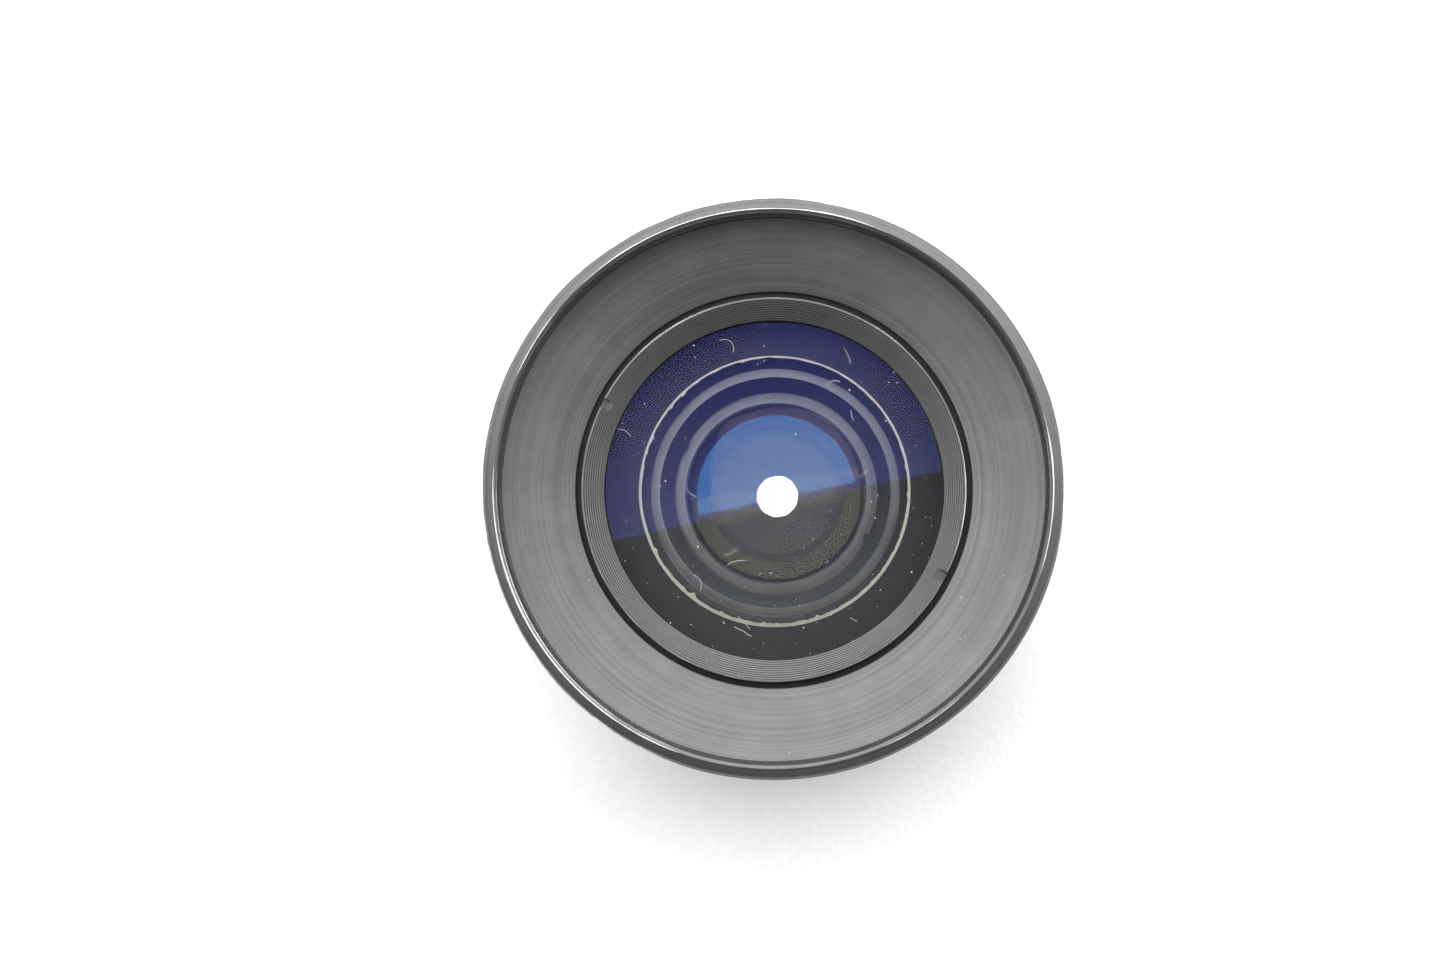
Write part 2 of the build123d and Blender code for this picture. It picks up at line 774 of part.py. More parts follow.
third_reach = third_radius - third_land
third_front_vertex = third_front_flat - sag(third_front_curve, third_reach)
third_rear_vertex = third_rear_flat + sag(third_rear_curve, third_reach)
third_lens = element(
    arc_through(third_front_vertex, -third_front_curve, third_reach),
    third_front_flat,
    arc_through(third_rear_vertex, third_rear_curve, third_reach),
    third_rear_flat,
    third_radius,
)
third_lens.label = "third_lens"

# ---------------------------------------------------------------- rear cell and its glass

rear_cell_bottom = mount_foot + rear_cell_inset
rear_flange_top = mount_lip_bottom
rear_front_flat = rear_seat
rear_rear_flat = rear_front_flat - rear_edge
doublet_rear_flat = rear_seat + rear_seat_height
doublet_front_flat = doublet_rear_flat + doublet_edge
rear_cell_top = doublet_front_flat + doublet_ring_height
rear_cell_outline = [
    (rear_radius + fit_gap, rear_cell_bottom),
    (mount_bore_radius - rear_cell_flange_gap, rear_cell_bottom),
    (mount_bore_radius - rear_cell_flange_gap, rear_flange_top),
    (rear_bore_radius - fit_gap, rear_flange_top),
    (rear_bore_radius - fit_gap, rear_cell_top),
    (doublet_radius + fit_gap, rear_cell_top),
    (doublet_radius + fit_gap, doublet_rear_flat),
    (doublet_radius - doublet_land, doublet_rear_flat),
    (rear_radius - rear_land, rear_front_flat),
    (rear_radius + fit_gap, rear_front_flat),
]
with BuildPart() as rear_cell:
    with BuildSketch(Plane.XZ):
        with BuildLine():
            Polyline(*rear_cell_outline, close=True)
        make_face()
    revolve(axis=Axis.Z)
rear_cell.part.label = "rear_cell"

rear_ring_bottom = rear_rear_flat - retainer_height
rear_ring_outline = [
    (rear_radius - rear_land, rear_rear_flat),
    (rear_radius - rear_land / 2, rear_ring_bottom),
    (rear_radius, rear_ring_bottom),
    (rear_radius, rear_rear_flat),
]
with BuildPart() as rear_retaining_ring:
    with BuildSketch(Plane.XZ):
        with BuildLine():
            Polyline(*rear_ring_outline, close=True)
        make_face()
    revolve(axis=Axis.Z)
    with BuildSketch(Plane.XY.offset(rear_ring_bottom)):
        with PolarLocations(rear_radius, 2):
            Rectangle(2 * rear_land + overcut, spanner_slot_width)
    extrude(amount=spanner_slot_depth, mode=Mode.SUBTRACT)
rear_retaining_ring.part.label = "rear_retaining_ring"

with BuildPart() as doublet_ring:
    with BuildSketch(Plane.XY.offset(doublet_front_flat)):
        Circle(doublet_radius)
        Circle(doublet_radius - doublet_land / 2, mode=Mode.SUBTRACT)
    extrude(amount=doublet_ring_height)
doublet_ring.part.label = "doublet_ring"

rear_reach = rear_radius - rear_land
rear_front_vertex = rear_front_flat + sag(rear_front_curve, rear_reach)
rear_rear_vertex = rear_rear_flat - sag(rear_rear_curve, rear_reach)
rear_lens = element(
    arc_through(rear_front_vertex, rear_front_curve, rear_reach),
    rear_front_flat,
    arc_through(rear_rear_vertex, -rear_rear_curve, rear_reach),
    rear_rear_flat,
    rear_radius,
)
rear_lens.label = "rear_lens"

# The two glasses of the doublet meet in one curve that runs out to the edge of both.
doublet_reach = doublet_radius - doublet_land
doublet_front_vertex = doublet_front_flat + sag(doublet_front_curve, doublet_reach)
doublet_rear_vertex = doublet_rear_flat + sag(doublet_rear_curve, doublet_reach)
joint_edge = doublet_front_flat - crown_edge
joint_vertex = joint_edge - sag(doublet_joint_curve, doublet_radius)
crown_vertex = joint_vertex + cement_gap

with BuildPart() as doublet_crown:
    with BuildSketch(Plane.XZ):
        with BuildLine():
            front = arc_through(doublet_front_vertex, doublet_front_curve, doublet_reach)
            rear = arc_through(crown_vertex, -doublet_joint_curve, doublet_radius)
            ThreePointArc(*front)
            Polyline(front[-1], (doublet_radius, doublet_front_flat), rear[-1])
            ThreePointArc(*rear)
            Line(rear[0], front[0])
        make_face()
    revolve(axis=Axis.Z)
doublet_crown.part.label = "doublet_crown"

with BuildPart() as doublet_flint:
    with BuildSketch(Plane.XZ):
        with BuildLine():
            front = arc_through(joint_vertex, -doublet_joint_curve, doublet_radius)
            rear = arc_through(doublet_rear_vertex, doublet_rear_curve, doublet_reach)
            ThreePointArc(*front)
            Polyline(front[-1], (doublet_radius, doublet_rear_flat), rear[-1])
            ThreePointArc(*rear)
            Line(rear[0], front[0])
        make_face()
    revolve(axis=Axis.Z)
doublet_flint.part.label = "doublet_flint"

# ---------------------------------------------------------------- set screws

with BuildPart() as bell_set_screws:
    for screw in range(set_screw_count):
        bearing = bell_screw_start + screw * 360 / set_screw_count
        with BuildSketch(screw_plane(bearing, bell_screw_height, barrel_radius + fit_gap)):
            Circle(set_screw_radius)
        extrude(amount=collar_wall - fit_gap)
        with BuildSketch(
            screw_plane(bearing, bell_screw_height, collar_radius - set_screw_slot_depth)
        ):
            Rectangle(3 * set_screw_radius, set_screw_slot)
        extrude(amount=2 * set_screw_slot_depth, mode=Mode.SUBTRACT)
bell_set_screws.part.label = "bell_set_screws"

with BuildPart() as index_set_screws:
    for screw in range(set_screw_count):
        bearing = index_screw_start + screw * 360 / set_screw_count
        with BuildSketch(screw_plane(bearing, index_screw_height, barrel_radius + fit_gap)):
            Circle(set_screw_radius)
        extrude(amount=index_wall - fit_gap)
        with BuildSketch(
            screw_plane(bearing, index_screw_height, index_radius - set_screw_slot_depth)
        ):
            Rectangle(3 * set_screw_radius, set_screw_slot)
        extrude(amount=2 * set_screw_slot_depth, mode=Mode.SUBTRACT)
index_set_screws.part.label = "index_set_screws"

# ---------------------------------------------------------------- output

os.makedirs("parts", exist_ok=True)
pieces = [
    front_bell.part,
    bell_set_screws.part,
    front_cell.part,
    front_retaining_ring.part,
    front_meniscus,
    baffle_spacer.part,
    inner_retaining_ring.part,
    second_lens,
    third_lens,
    third_lens_ring.part,
    main_barrel.part,
    iris_base_ring.part,
    *iris_blades,
    iris_cam_ring.part,
    iris_cover_ring.part,
    aperture_ring.part,
    aperture_drive_screw.part,
    index_ring.part,
    index_set_screws.part,
    detent_ball.part,
    detent_spring.part,
    rear_cell.part,
    doublet_ring.part,
    doublet_crown.part,
    doublet_flint.part,
    rear_lens,
    rear_retaining_ring.part,
    mount_ring.part,
]
for piece in pieces:
    export_step(piece, f"parts/{piece.label}.step")
print("blade ratio", round(blade_ratio, 6), "rest ring turn", round(rest_ring_turn, 4))
print("rest blade turn", round(rest_blade_turn, 4), "blade travel", round(blade_travel, 4))
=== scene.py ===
"""Finish of an enlarger lens: black metal, coated glass, white numbers, dust and a studio stage."""

import math
import random

import bmesh
import bpy
from bpy.props import FloatProperty, FloatVectorProperty, IntProperty, PointerProperty
from mathutils import Matrix, Vector, noise


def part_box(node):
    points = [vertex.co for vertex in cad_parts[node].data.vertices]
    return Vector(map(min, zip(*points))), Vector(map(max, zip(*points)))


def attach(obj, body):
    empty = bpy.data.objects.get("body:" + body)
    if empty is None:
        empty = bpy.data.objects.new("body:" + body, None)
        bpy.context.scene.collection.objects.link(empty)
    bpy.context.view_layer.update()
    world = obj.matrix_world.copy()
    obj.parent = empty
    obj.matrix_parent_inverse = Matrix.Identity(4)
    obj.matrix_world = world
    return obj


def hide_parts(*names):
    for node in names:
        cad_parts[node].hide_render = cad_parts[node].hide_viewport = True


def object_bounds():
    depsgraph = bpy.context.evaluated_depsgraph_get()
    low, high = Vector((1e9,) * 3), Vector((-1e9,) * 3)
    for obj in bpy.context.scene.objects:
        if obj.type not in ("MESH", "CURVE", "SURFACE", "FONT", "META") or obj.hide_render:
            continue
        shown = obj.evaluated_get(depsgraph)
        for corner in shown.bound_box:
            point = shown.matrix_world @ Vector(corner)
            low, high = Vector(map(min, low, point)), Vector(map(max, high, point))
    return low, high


bl_info = {
    "name": "Enlarger Lens Finish",
    "version": (1, 0, 0),
    "blender": (4, 5, 0),
    "location": "3D View > Sidebar > Lens",
    "description": "Finishes an enlarger lens with coated glass, worn metal and white numbers",
    "category": "Object",
}

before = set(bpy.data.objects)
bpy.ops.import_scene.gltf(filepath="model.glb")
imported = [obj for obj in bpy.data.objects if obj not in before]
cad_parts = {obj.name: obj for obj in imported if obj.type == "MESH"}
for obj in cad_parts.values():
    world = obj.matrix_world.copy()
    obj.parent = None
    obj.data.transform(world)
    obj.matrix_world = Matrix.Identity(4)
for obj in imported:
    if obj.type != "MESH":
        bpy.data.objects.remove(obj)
CAD_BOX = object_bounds()

MM = 0.001
WELD = 1e-7  # points closer than this are one point
SHARP = math.radians(20)  # a turn of the outline above this is an edge
GLASS_EDGE = math.radians(12)  # the same for a glass, whose surfaces are finely curved
SEAT_GAP = 0.01 * MM  # a glass stands this far off its seat
TURN_STEPS = 240  # straight steps round a turned piece
SIDE_SHARE = 0.998  # beyond this share of its radius a face of a glass belongs to its side
ARC_STEPS = 56  # steps across a lens surface
LENS_BODY = "lens_body"
RING_BODY = "aperture_ring_body"

# places that the finish shares with the CAD pieces
RIM_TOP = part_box("front_bell")[1].z
RIM_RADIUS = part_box("front_bell")[1].x
FOOT = CAD_BOX[0].z
APERTURE_STOPS = (4.5, 5.6, 8, 11, 16, 22)
REST_STOP = 11
OPEN_RADIUS = 6.0 * MM
PIVOT_RADIUS = 9.5 * MM
RING_TRAVEL = 50.0  # degrees between the widest stop and the smallest
BELL_SCREW_BEARINGS = (90.0, 210.0, 330.0)
SCREW_CLEARANCE = 1.03 * MM  # radius of the holes round those screws
SPANNER_BEARING = 153.0
FRONT_SLOT = (1.15 * MM, 1.0 * MM, 0.7 * MM)  # reach in from the edge, width and depth
INNER_SLOT = (0.6 * MM, 1.0 * MM, 0.7 * MM)
RIM_CORNER_DROP = 0.4 * MM  # from the top of the bell down to the outer corner of its rim
LIP_DROP = 0.17 * MM  # the same for its inner lip and for the first crest of the thread
THREAD_DROP = 0.75 * MM
FLUTE_FOOT = 0.65 * MM  # lower and upper ends of the flutes, above the foot of the aperture ring
FLUTE_TOP = 5.4 * MM
BAND_FOOT = 6.35 * MM  # foot of the numbered band, above the foot of the aperture ring
BAND_INSET = 0.35 * MM  # of the band's foot from the crests between the flutes
BAND_FALL = 0.8 * MM  # of the band towards its upper edge

# the numbers and the index dot
LINE_SIZE = (0.22 * MM, 0.8 * MM, 0.02 * MM)
LINE_RISE = 0.45 * MM  # middle of a line above the foot of the band
NUMBER_RISE = 0.35 * MM  # of the numbers above the middle of the band
PAINT_LIFT = 0.012 * MM  # how far the paint stands above the metal, and reaches below it
DOT_RADIUS = 0.55 * MM
DOT_FLATNESS = 0.06

# each coating: its tint, its share of the film's thickness, the index of the glass, its strength
COATINGS = {
    "outer": ("outer_tint", 1.0, 1.52, 0.6),
    "inner": ("inner_tint", 0.0, 1.6, 0.7),
    "deep": ("deep_tint", 0.9, 1.6, 0.08),
    "hollow": ("hollow_tint", 1.0, 1.52, 0.6),
}
# the coatings on the front and on the rear of each glass
GLASSES = {
    "front_meniscus": ("outer", "hollow"),
    "second_lens": ("inner", "deep"),
    "third_lens": ("deep", "deep"),
    "doublet_crown": ("deep", "deep"),
    "doublet_flint": ("deep", "deep"),
    "rear_lens": ("deep", "outer"),
}

# the stage, in metres and degrees
FLOOR_RADII = (0.0, 0.2, 3.0)
SHEET_RADIUS = 15.0 * MM  # bright sheet under the open rear of the lens
SHEET_RISE = 0.05 * MM
SHEET_GLOW = 1.6
CEILING_SIZE = (5.6, 4.0)
CEILING_PLACE = (0.68, 2.17, 1.5)
CEILING_TURN = 12.0
SIDE_SIZE = (0.8, 0.5)
SIDE_PLACE = (1.5, -0.3, 0.7)
SIDE_RADIANCE = 1.6
BACKDROP_RADIANCE = 0.96
SENSOR_WIDTH = 36.0  # in millimetres, like the focal length
VIEW_WIDTH = 2.478  # width of the view at the rim, over the width of the rim
AIM_ACROSS = -0.173  # how far the camera aims beside the rim's centre, in rim radii
AIM_UP = 0.023

# worn and dusty places on the black metal
BARE_METAL = (0.5, 0.49, 0.48, 1)
DUST_GREY = (0.42, 0.41, 0.39, 1)


# ---------------------------------------------------------------- shapes


def polar(radius, bearing, height=0.0):
    """A point from its distance to the optical axis, its bearing in degrees and its height."""
    turn = math.radians(bearing)
    return Vector((radius * math.cos(turn), radius * math.sin(turn), height))


def corner_turn(outline, index):
    """How sharply the outline turns at one of its points."""
    here = Vector(outline[index])
    before = here - Vector(outline[index - 1])
    after = Vector(outline[(index + 1) % len(outline)]) - here
    if min(before.length, after.length) < WELD:
        return 0.0
    return before.angle(after)


def section(node, bearing=0.0):
    """The outline of a turned CAD node as (radius, height) points, cut through it at a bearing."""
    outwards = polar(1, bearing)
    cut = bmesh.new()
    cut.from_mesh(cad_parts[node].data)
    bmesh.ops.remove_doubles(cut, verts=cut.verts, dist=WELD)
    sliced = bmesh.ops.bisect_plane(
        cut,
        geom=[*cut.verts, *cut.edges, *cut.faces],
        dist=WELD,
        plane_co=(0, 0, 0),
        plane_no=polar(1, bearing + 90),
    )
    neighbours = {}
    for piece in sliced["geom_cut"]:
        if isinstance(piece, bmesh.types.BMEdge):
            if min(vert.co.dot(outwards) for vert in piece.verts) > -WELD:
                first, second = piece.verts
                neighbours.setdefault(first, []).append(second)
                neighbours.setdefault(second, []).append(first)
    ends = [vert for vert, linked in neighbours.items() if len(linked) == 1]
    walk = [ends[0] if ends else next(iter(neighbours))]
    while True:
        onward = [vert for vert in neighbours[walk[-1]] if vert not in walk[-2:]]
        if not onward or onward[0] is walk[0]:
            break
        walk.append(onward[0])
    outline = [(max(vert.co.dot(outwards), 0.0), vert.co.z) for vert in walk]
    cut.free()
    return outline


def softened(outline, size):
    """A closed outline with its sharp corners rounded off over up to the given size."""
    points = []
    for index, corner in enumerate(outline):
        if corner_turn(outline, index) < SHARP:
            points.append(corner)
            continue
        here = Vector(corner)
        before = Vector(outline[index - 1]) - here
        after = Vector(outline[(index + 1) % len(outline)]) - here
        reach = min(size, 0.4 * before.length, 0.4 * after.length)
        start = here + before.normalized() * reach
        end = here + after.normalized() * reach
        for share in (0.0, 0.25, 0.5, 0.75, 1.0):
            point = start.lerp(here, share).lerp(here.lerp(end, share), share)
            points.append(tuple(point))
    return points


def circle_arc(points, steps):
    """The arc through the first, middle and last of some points, in even steps."""
    first, middle, last = (Vector(points[i]) for i in (0, len(points) // 2, -1))
    ax, ay = middle - first
    bx, by = last - first
    cross = 2 * (ax * by - ay * bx)
    if abs(cross) < 1e-14:
        return [tuple(first.lerp(last, step / steps)) for step in range(steps + 1)]
    a2, b2 = ax * ax + ay * ay, bx * bx + by * by
    centre = first + Vector(((by * a2 - ay * b2) / cross, (ax * b2 - bx * a2) / cross))
    start = math.atan2(*reversed(first - centre))
    end = math.atan2(*reversed(last - centre))
    sweep = (end - start + math.pi) % (2 * math.pi) - math.pi
    size = (first - centre).length
    arc = []
    for step in range(steps + 1):
        angle = start + sweep * step / steps
        arc.append((centre.x + size * math.cos(angle), centre.y + size * math.sin(angle)))
    return arc


def glass_outline(node):
    """The outline of a lens, axis to axis, with both of its surfaces redrawn as fine arcs."""
    chain = section(node)
    if chain[0][1] < chain[-1][1]:
        chain.reverse()
    corners = [index for index in range(1, len(chain) - 1) if corner_turn(chain, index) > GLASS_EDGE]
    front = circle_arc(chain[: corners[0] + 1], ARC_STEPS)
    rear = circle_arc(chain[corners[-1] :], ARC_STEPS)
    front[0] = (0.0, front[0][1])
    rear[-1] = (0.0, rear[-1][1])
    return front + chain[corners[0] + 1 : corners[-1]] + rear


def new_object(name, mesh):
    """A linked object for a finished mesh."""
    made = bpy.data.objects.new(name, mesh)
    bpy.context.scene.collection.objects.link(made)
    return made


def shade(mesh, angle=30.0):
    """Smooth shading with the real edges kept sharp."""
    mesh.polygons.foreach_set("use_smooth", [True] * len(mesh.polygons))
    mesh.set_sharp_from_angle(angle=math.radians(angle))
    mesh.update()


def settled(name, drawn, smooth=True):
    """A linked object made from a drawn bmesh, which is freed."""
    mesh = bpy.data.meshes.new(name)
    drawn.to_mesh(mesh)
    drawn.free()
    if smooth:
        shade(mesh)
    return new_object(name, mesh)


def turned(name, outline, closed=True, steps=TURN_STEPS):
    """An outline of (radius, height) points turned round the optical axis."""
    body = bmesh.new()
    rings = []
    for radius, height in outline:
        if radius < WELD:
            rings.append([body.verts.new((0, 0, height))] * steps)
        else:
            rings.append(
                [body.verts.new(polar(radius, 360 * step / steps, height)) for step in range(steps)]
            )
    pairs = list(zip(rings, rings[1:]))
    if closed:
        pairs.append((rings[-1], rings[0]))
    for low, high in pairs:
        for step in range(steps):
            after = (step + 1) % steps
            corners = [low[step], low[after], high[after], high[step]]
            corners = [vert for index, vert in enumerate(corners) if vert not in corners[:index]]
            if len(corners) > 2:
                body.faces.new(corners)
    bmesh.ops.recalc_face_normals(body, faces=body.faces)
    return settled(name, body)


def cut_away(target, cutters):
    """Cuts some helper objects out of a piece and removes them."""
    for cutter in cutters:
        cut = target.modifiers.new("cut", "BOOLEAN")
        cut.operation = "DIFFERENCE"
        cut.solver = "EXACT"
        cut.object = cutter
    bpy.context.view_layer.update()
    evaluated = target.evaluated_get(bpy.context.evaluated_depsgraph_get())
    mesh = bpy.data.meshes.new_from_object(evaluated)
    target.modifiers.clear()
    target.data = mesh
    shade(mesh)
    for cutter in cutters:
        bpy.data.objects.remove(cutter)


def block(name, size, place):
    """A plain block, for a cutter or a painted line."""
    solid = bmesh.new()
    bmesh.ops.create_cube(solid, size=1.0, matrix=place @ Matrix.Diagonal((*size, 1)))
    return settled(name, solid, smooth=False)


def rod(name, radius, length, place):
    """A plain rod along its own Z, used as a cutter."""
    solid = bmesh.new()
    bmesh.ops.create_cone(
        solid, cap_ends=True, segments=40, radius1=radius, radius2=radius, depth=length, matrix=place
    )
    return settled(name, solid, smooth=False)


def outer_top(outline):
    """The largest radius and the largest height of an outline."""
    return max(point[0] for point in outline), max(point[1] for point in outline)


def spanner_slots(outline, slot):
    """Two cutters across a ring for the pins of a spanner."""
    outer, top = outer_top(outline)
    reach, width, depth = slot
    cutters = []
    for bearing in (SPANNER_BEARING, SPANNER_BEARING + 180):
        place = Matrix.Translation(polar(outer, bearing, top))
        place = place @ Matrix.Rotation(math.radians(bearing), 4, "Z")
        cutters.append(block("slot", (2 * reach, width, 2 * depth), place))
    return cutters


def paint_slot_shade(ring, outline, slot, material):
    """Gives the floors and walls of a ring's two spanner slots their own darker material: painted shade
    in the slots.
    """
    outer, top = outer_top(outline)
    reach, width, depth = slot
    ring.data.materials.append(material)
    for bearing in (SPANNER_BEARING, SPANNER_BEARING + 180):
        turn = Matrix.Rotation(math.radians(-bearing), 4, "Z")
        for face in ring.data.polygons:
            place = turn @ face.center
            inside = outer - reach - WELD < place.x < outer + WELD and place.z > top - depth - WELD
            if inside and abs(place.y) < width / 2 + WELD:
                face.material_index = len(ring.data.materials) - 1


def blade_turn(stop):
    """How far each blade turns in from wide open to an aperture stop, in radians."""
    opening = OPEN_RADIUS * APERTURE_STOPS[0] / stop
    return 2 * math.asin((OPEN_RADIUS - opening) / (2 * PIVOT_RADIUS))


def stop_bearing(stop):
    """Where the number of an aperture stop stands on the ring while the ring is at rest."""
    ratio = blade_turn(APERTURE_STOPS[-1]) / RING_TRAVEL
    return (blade_turn(REST_STOP) - blade_turn(stop)) / ratio


def wrapped(name, flat, radius, slope, height, bearing):
    """Bends a flat mesh, drawn about the origin, onto a cone about the optical axis."""
    mesh = bpy.data.meshes.new_from_object(flat)
    bpy.data.objects.remove(flat)
    for vert in mesh.vertices:
        rise = vert.co.y
        reach = radius - slope * rise + (PAINT_LIFT if vert.co.z > 0 else -PAINT_LIFT)
        turn = bearing + math.degrees(vert.co.x / radius)
        vert.co = polar(reach, turn, height + rise)
    mesh.name = name
    return new_object(name, mesh)


def finish_piece(piece, body, material):
    """Gives a new piece its material and the body it rides on."""
    piece.data.materials.clear()
    piece.data.materials.append(material)
    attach(piece, body)
    return piece


def refinish(names, material):
    """Gives CAD nodes that stay in view a finished material."""
    for name in names:
        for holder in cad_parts[name].material_slots:
            holder.material = material


# ---------------------------------------------------------------- shader groups


class Graph:
    """A small helper that adds nodes to a tree and joins them."""

    def __init__(self, tree):
        self.tree = tree

    def add(self, kind, settings=None, **inputs):
        """A node. Its inputs go by name, with _ for a space, or by number, as in i0."""
        node = self.tree.nodes.new(kind)
        for name, value in (settings or {}).items():
            setattr(node, name, value)
        for name, value in inputs.items():
            key = int(name[1:]) if name[0] == "i" and name[1:].isdigit() else name.replace("_", " ")
            if isinstance(value, bpy.types.NodeSocket):
                self.tree.links.new(value, node.inputs[key])
            else:
                node.inputs[key].default_value = value
        return node

    def math(self, operation, first, second=0.0, clamp=False):
        """The result of one sum."""
        settings = {"operation": operation, "use_clamp": clamp}
        return self.add("ShaderNodeMath", settings, i0=first, i1=second).outputs[0]

    def blend(self, share, first, second):
        """A colour between two others."""
        settings = {"data_type": "RGBA"}
        return self.add("ShaderNodeMix", settings, i0=share, i6=first, i7=second).outputs[2]

    def ramp(self, value, low, high, to_low=0.0, to_high=1.0):
        """A value carried over from one range to another."""
        node = self.add("ShaderNodeMapRange", i0=value, i1=low, i2=high, i3=to_low, i4=to_high)
        return node.outputs[0]

    def group(self, name, **inputs):
        """A use of one of the shader groups."""
        return self.add("ShaderNodeGroup", {"node_tree": bpy.data.node_groups[name]}, **inputs)


def new_group(name, inputs, outputs):
    """An empty shader group with float inputs and outputs, and its graph, input and output nodes."""
    tree = bpy.data.node_groups.new(name, "ShaderNodeTree")
    for label, default in inputs:
        socket = tree.interface.new_socket(label, in_out="INPUT", socket_type="NodeSocketFloat")
        socket.default_value = default
    for label in outputs:
        tree.interface.new_socket(label, in_out="OUTPUT", socket_type="NodeSocketFloat")
    graph = Graph(tree)
    return graph, graph.add("NodeGroupInput"), graph.add("NodeGroupOutput")


def object_place(graph):
    """The shaded point, as the object measures it."""
    return graph.add("ShaderNodeTexCoord").outputs["Object"]


def ring_place(graph):
    """The shaded point, and its radius, height and bearing about the optical axis."""
    place = object_place(graph)
    parts = graph.add("ShaderNodeSeparateXYZ", i0=place)
    flat = graph.add("ShaderNodeCombineXYZ", i0=parts.outputs[0], i1=parts.outputs[1])
    radius = graph.add("ShaderNodeVectorMath", {"operation": "LENGTH"}, i0=flat.outputs[0])
    bearing = graph.math("ARCTAN2", parts.outputs[1], parts.outputs[0])
    return place, radius.outputs["Value"], parts.outputs[2], bearing


def make_turned_marks():
    """Fine circular tool marks that fade and return round the piece."""
    graph, given, result = new_group(
        "Turned Marks", [("Lines per mm", 4.0), ("Waviness", 0.5)], ["Marks", "Bands"]
    )
    _, radius, height, bearing = ring_place(graph)
    per_metre = graph.math("MULTIPLY", given.outputs["Lines per mm"], 1000.0)
    across = graph.math("MULTIPLY", graph.math("ADD", radius, height), per_metre)
    around = graph.math("MULTIPLY", graph.math("SINE", bearing), given.outputs["Waviness"])
    around_too = graph.math("MULTIPLY", graph.math("COSINE", bearing), given.outputs["Waviness"])
    lookup = graph.add("ShaderNodeCombineXYZ", i0=across, i1=around, i2=around_too)
    fine = graph.add("ShaderNodeTexNoise", Vector=lookup.outputs[0], Scale=1.0, Detail=4.0)
    slow = graph.add("ShaderNodeTexNoise", Vector=lookup.outputs[0], Scale=0.3, Detail=2.0)
    graph.tree.links.new(fine.outputs[0], result.inputs["Marks"])
    graph.tree.links.new(slow.outputs[0], result.inputs["Bands"])


def make_worn_edge():
    """Bare metal along one turned edge, broken into nicks."""
    graph, given, result = new_group(
        "Worn Edge",
        [("Edge radius", 0.029), ("Edge height", 0.038), ("Reach", 0.00005), ("Amount", 0.5)],
        ["Mask"],
    )
    place, radius, height, _ = ring_place(graph)
    off = graph.math("SUBTRACT", radius, given.outputs["Edge radius"])
    up = graph.math("SUBTRACT", height, given.outputs["Edge height"])
    squared = graph.math("ADD", graph.math("MULTIPLY", off, off), graph.math("MULTIPLY", up, up))
    distance = graph.math("SQRT", squared)
    chips = graph.add("ShaderNodeTexNoise", Vector=place, Scale=520.0, Detail=4.0, Roughness=0.7)
    patches = graph.add("ShaderNodeTexNoise", Vector=place, Scale=70.0, Detail=2.0)
    patchy = graph.ramp(patches.outputs[0], 0.44, 0.66, 0.0, 2.6)
    spread = graph.math("MULTIPLY", chips.outputs[0], patchy)
    limit = graph.math("MULTIPLY", spread, given.outputs["Reach"])
    limit = graph.math("MULTIPLY", limit, graph.math("MULTIPLY", given.outputs["Amount"], 4.0))
    near = graph.math("DIVIDE", distance, graph.math("MAXIMUM", limit, 1e-7))
    graph.tree.links.new(graph.ramp(near, 1.15, 0.6), result.inputs["Mask"])


def make_settled_dust():
    """Small pale specks and a faint film on faces that look up."""
    graph, given, result = new_group(
        "Settled Dust", [("Specks per mm", 0.7), ("Speck share", 0.2), ("Film", 0.1)], ["Mask"]
    )
    place = object_place(graph)
    density = graph.math("MULTIPLY", given.outputs["Specks per mm"], 1000.0)
    cells = graph.add("ShaderNodeTexVoronoi", Vector=place, Scale=density)
    size = graph.add("ShaderNodeSeparateColor", i0=cells.outputs["Color"])
    chosen = graph.math("LESS_THAN", size.outputs[0], given.outputs["Speck share"])
    speck = graph.ramp(cells.outputs["Distance"], 0.05, 0.02)
    speck = graph.math("MULTIPLY", speck, chosen)
    haze = graph.add("ShaderNodeTexNoise", Vector=place, Scale=260.0, Detail=5.0)
    film = graph.math("MULTIPLY", graph.ramp(haze.outputs[0], 0.42, 0.75), given.outputs["Film"])
    normal = graph.add("ShaderNodeNewGeometry").outputs["Normal"]
    upwards = graph.add("ShaderNodeSeparateXYZ", i0=normal).outputs[2]
    facing = graph.math("MAXIMUM", upwards, 0.0)
    dust = graph.math("MULTIPLY", graph.math("ADD", speck, film, True), facing)
    graph.tree.links.new(dust, result.inputs["Mask"])


def make_fine_grain():
    """The slightly uneven matt skin of anodised or blackened metal."""
    graph, given, result = new_group("Fine Grain", [("Grain per mm", 8.0)], ["Grain", "Cloud"])
    place = object_place(graph)
    scale = graph.math("MULTIPLY", given.outputs["Grain per mm"], 1000.0)
    grain = graph.add("ShaderNodeTexNoise", Vector=place, Scale=scale, Detail=2.0)
    cloud = graph.add("ShaderNodeTexNoise", Vector=place, Scale=90.0, Detail=4.0)
    graph.tree.links.new(grain.outputs[0], result.inputs["Grain"])
    graph.tree.links.new(cloud.outputs[0], result.inputs["Cloud"])


# ---------------------------------------------------------------- materials


def new_material(name):
    """A material with an empty graph, and its shader and output already joined."""
    made = bpy.data.materials.new(name)
    made.use_nodes = True
    made.node_tree.nodes.clear()
    graph = Graph(made.node_tree)
    shader = graph.add("ShaderNodeBsdfPrincipled")
    output = graph.add("ShaderNodeOutputMaterial")
    made.node_tree.links.new(shader.outputs[0], output.inputs["Surface"])
    return made, graph, shader


def set_plain(shader, **values):
    """Sets numbers and colours that are the same all over, on the shader's own sockets."""
    for name, value in values.items():
        shader.inputs[name.replace("_", " ")].default_value = value


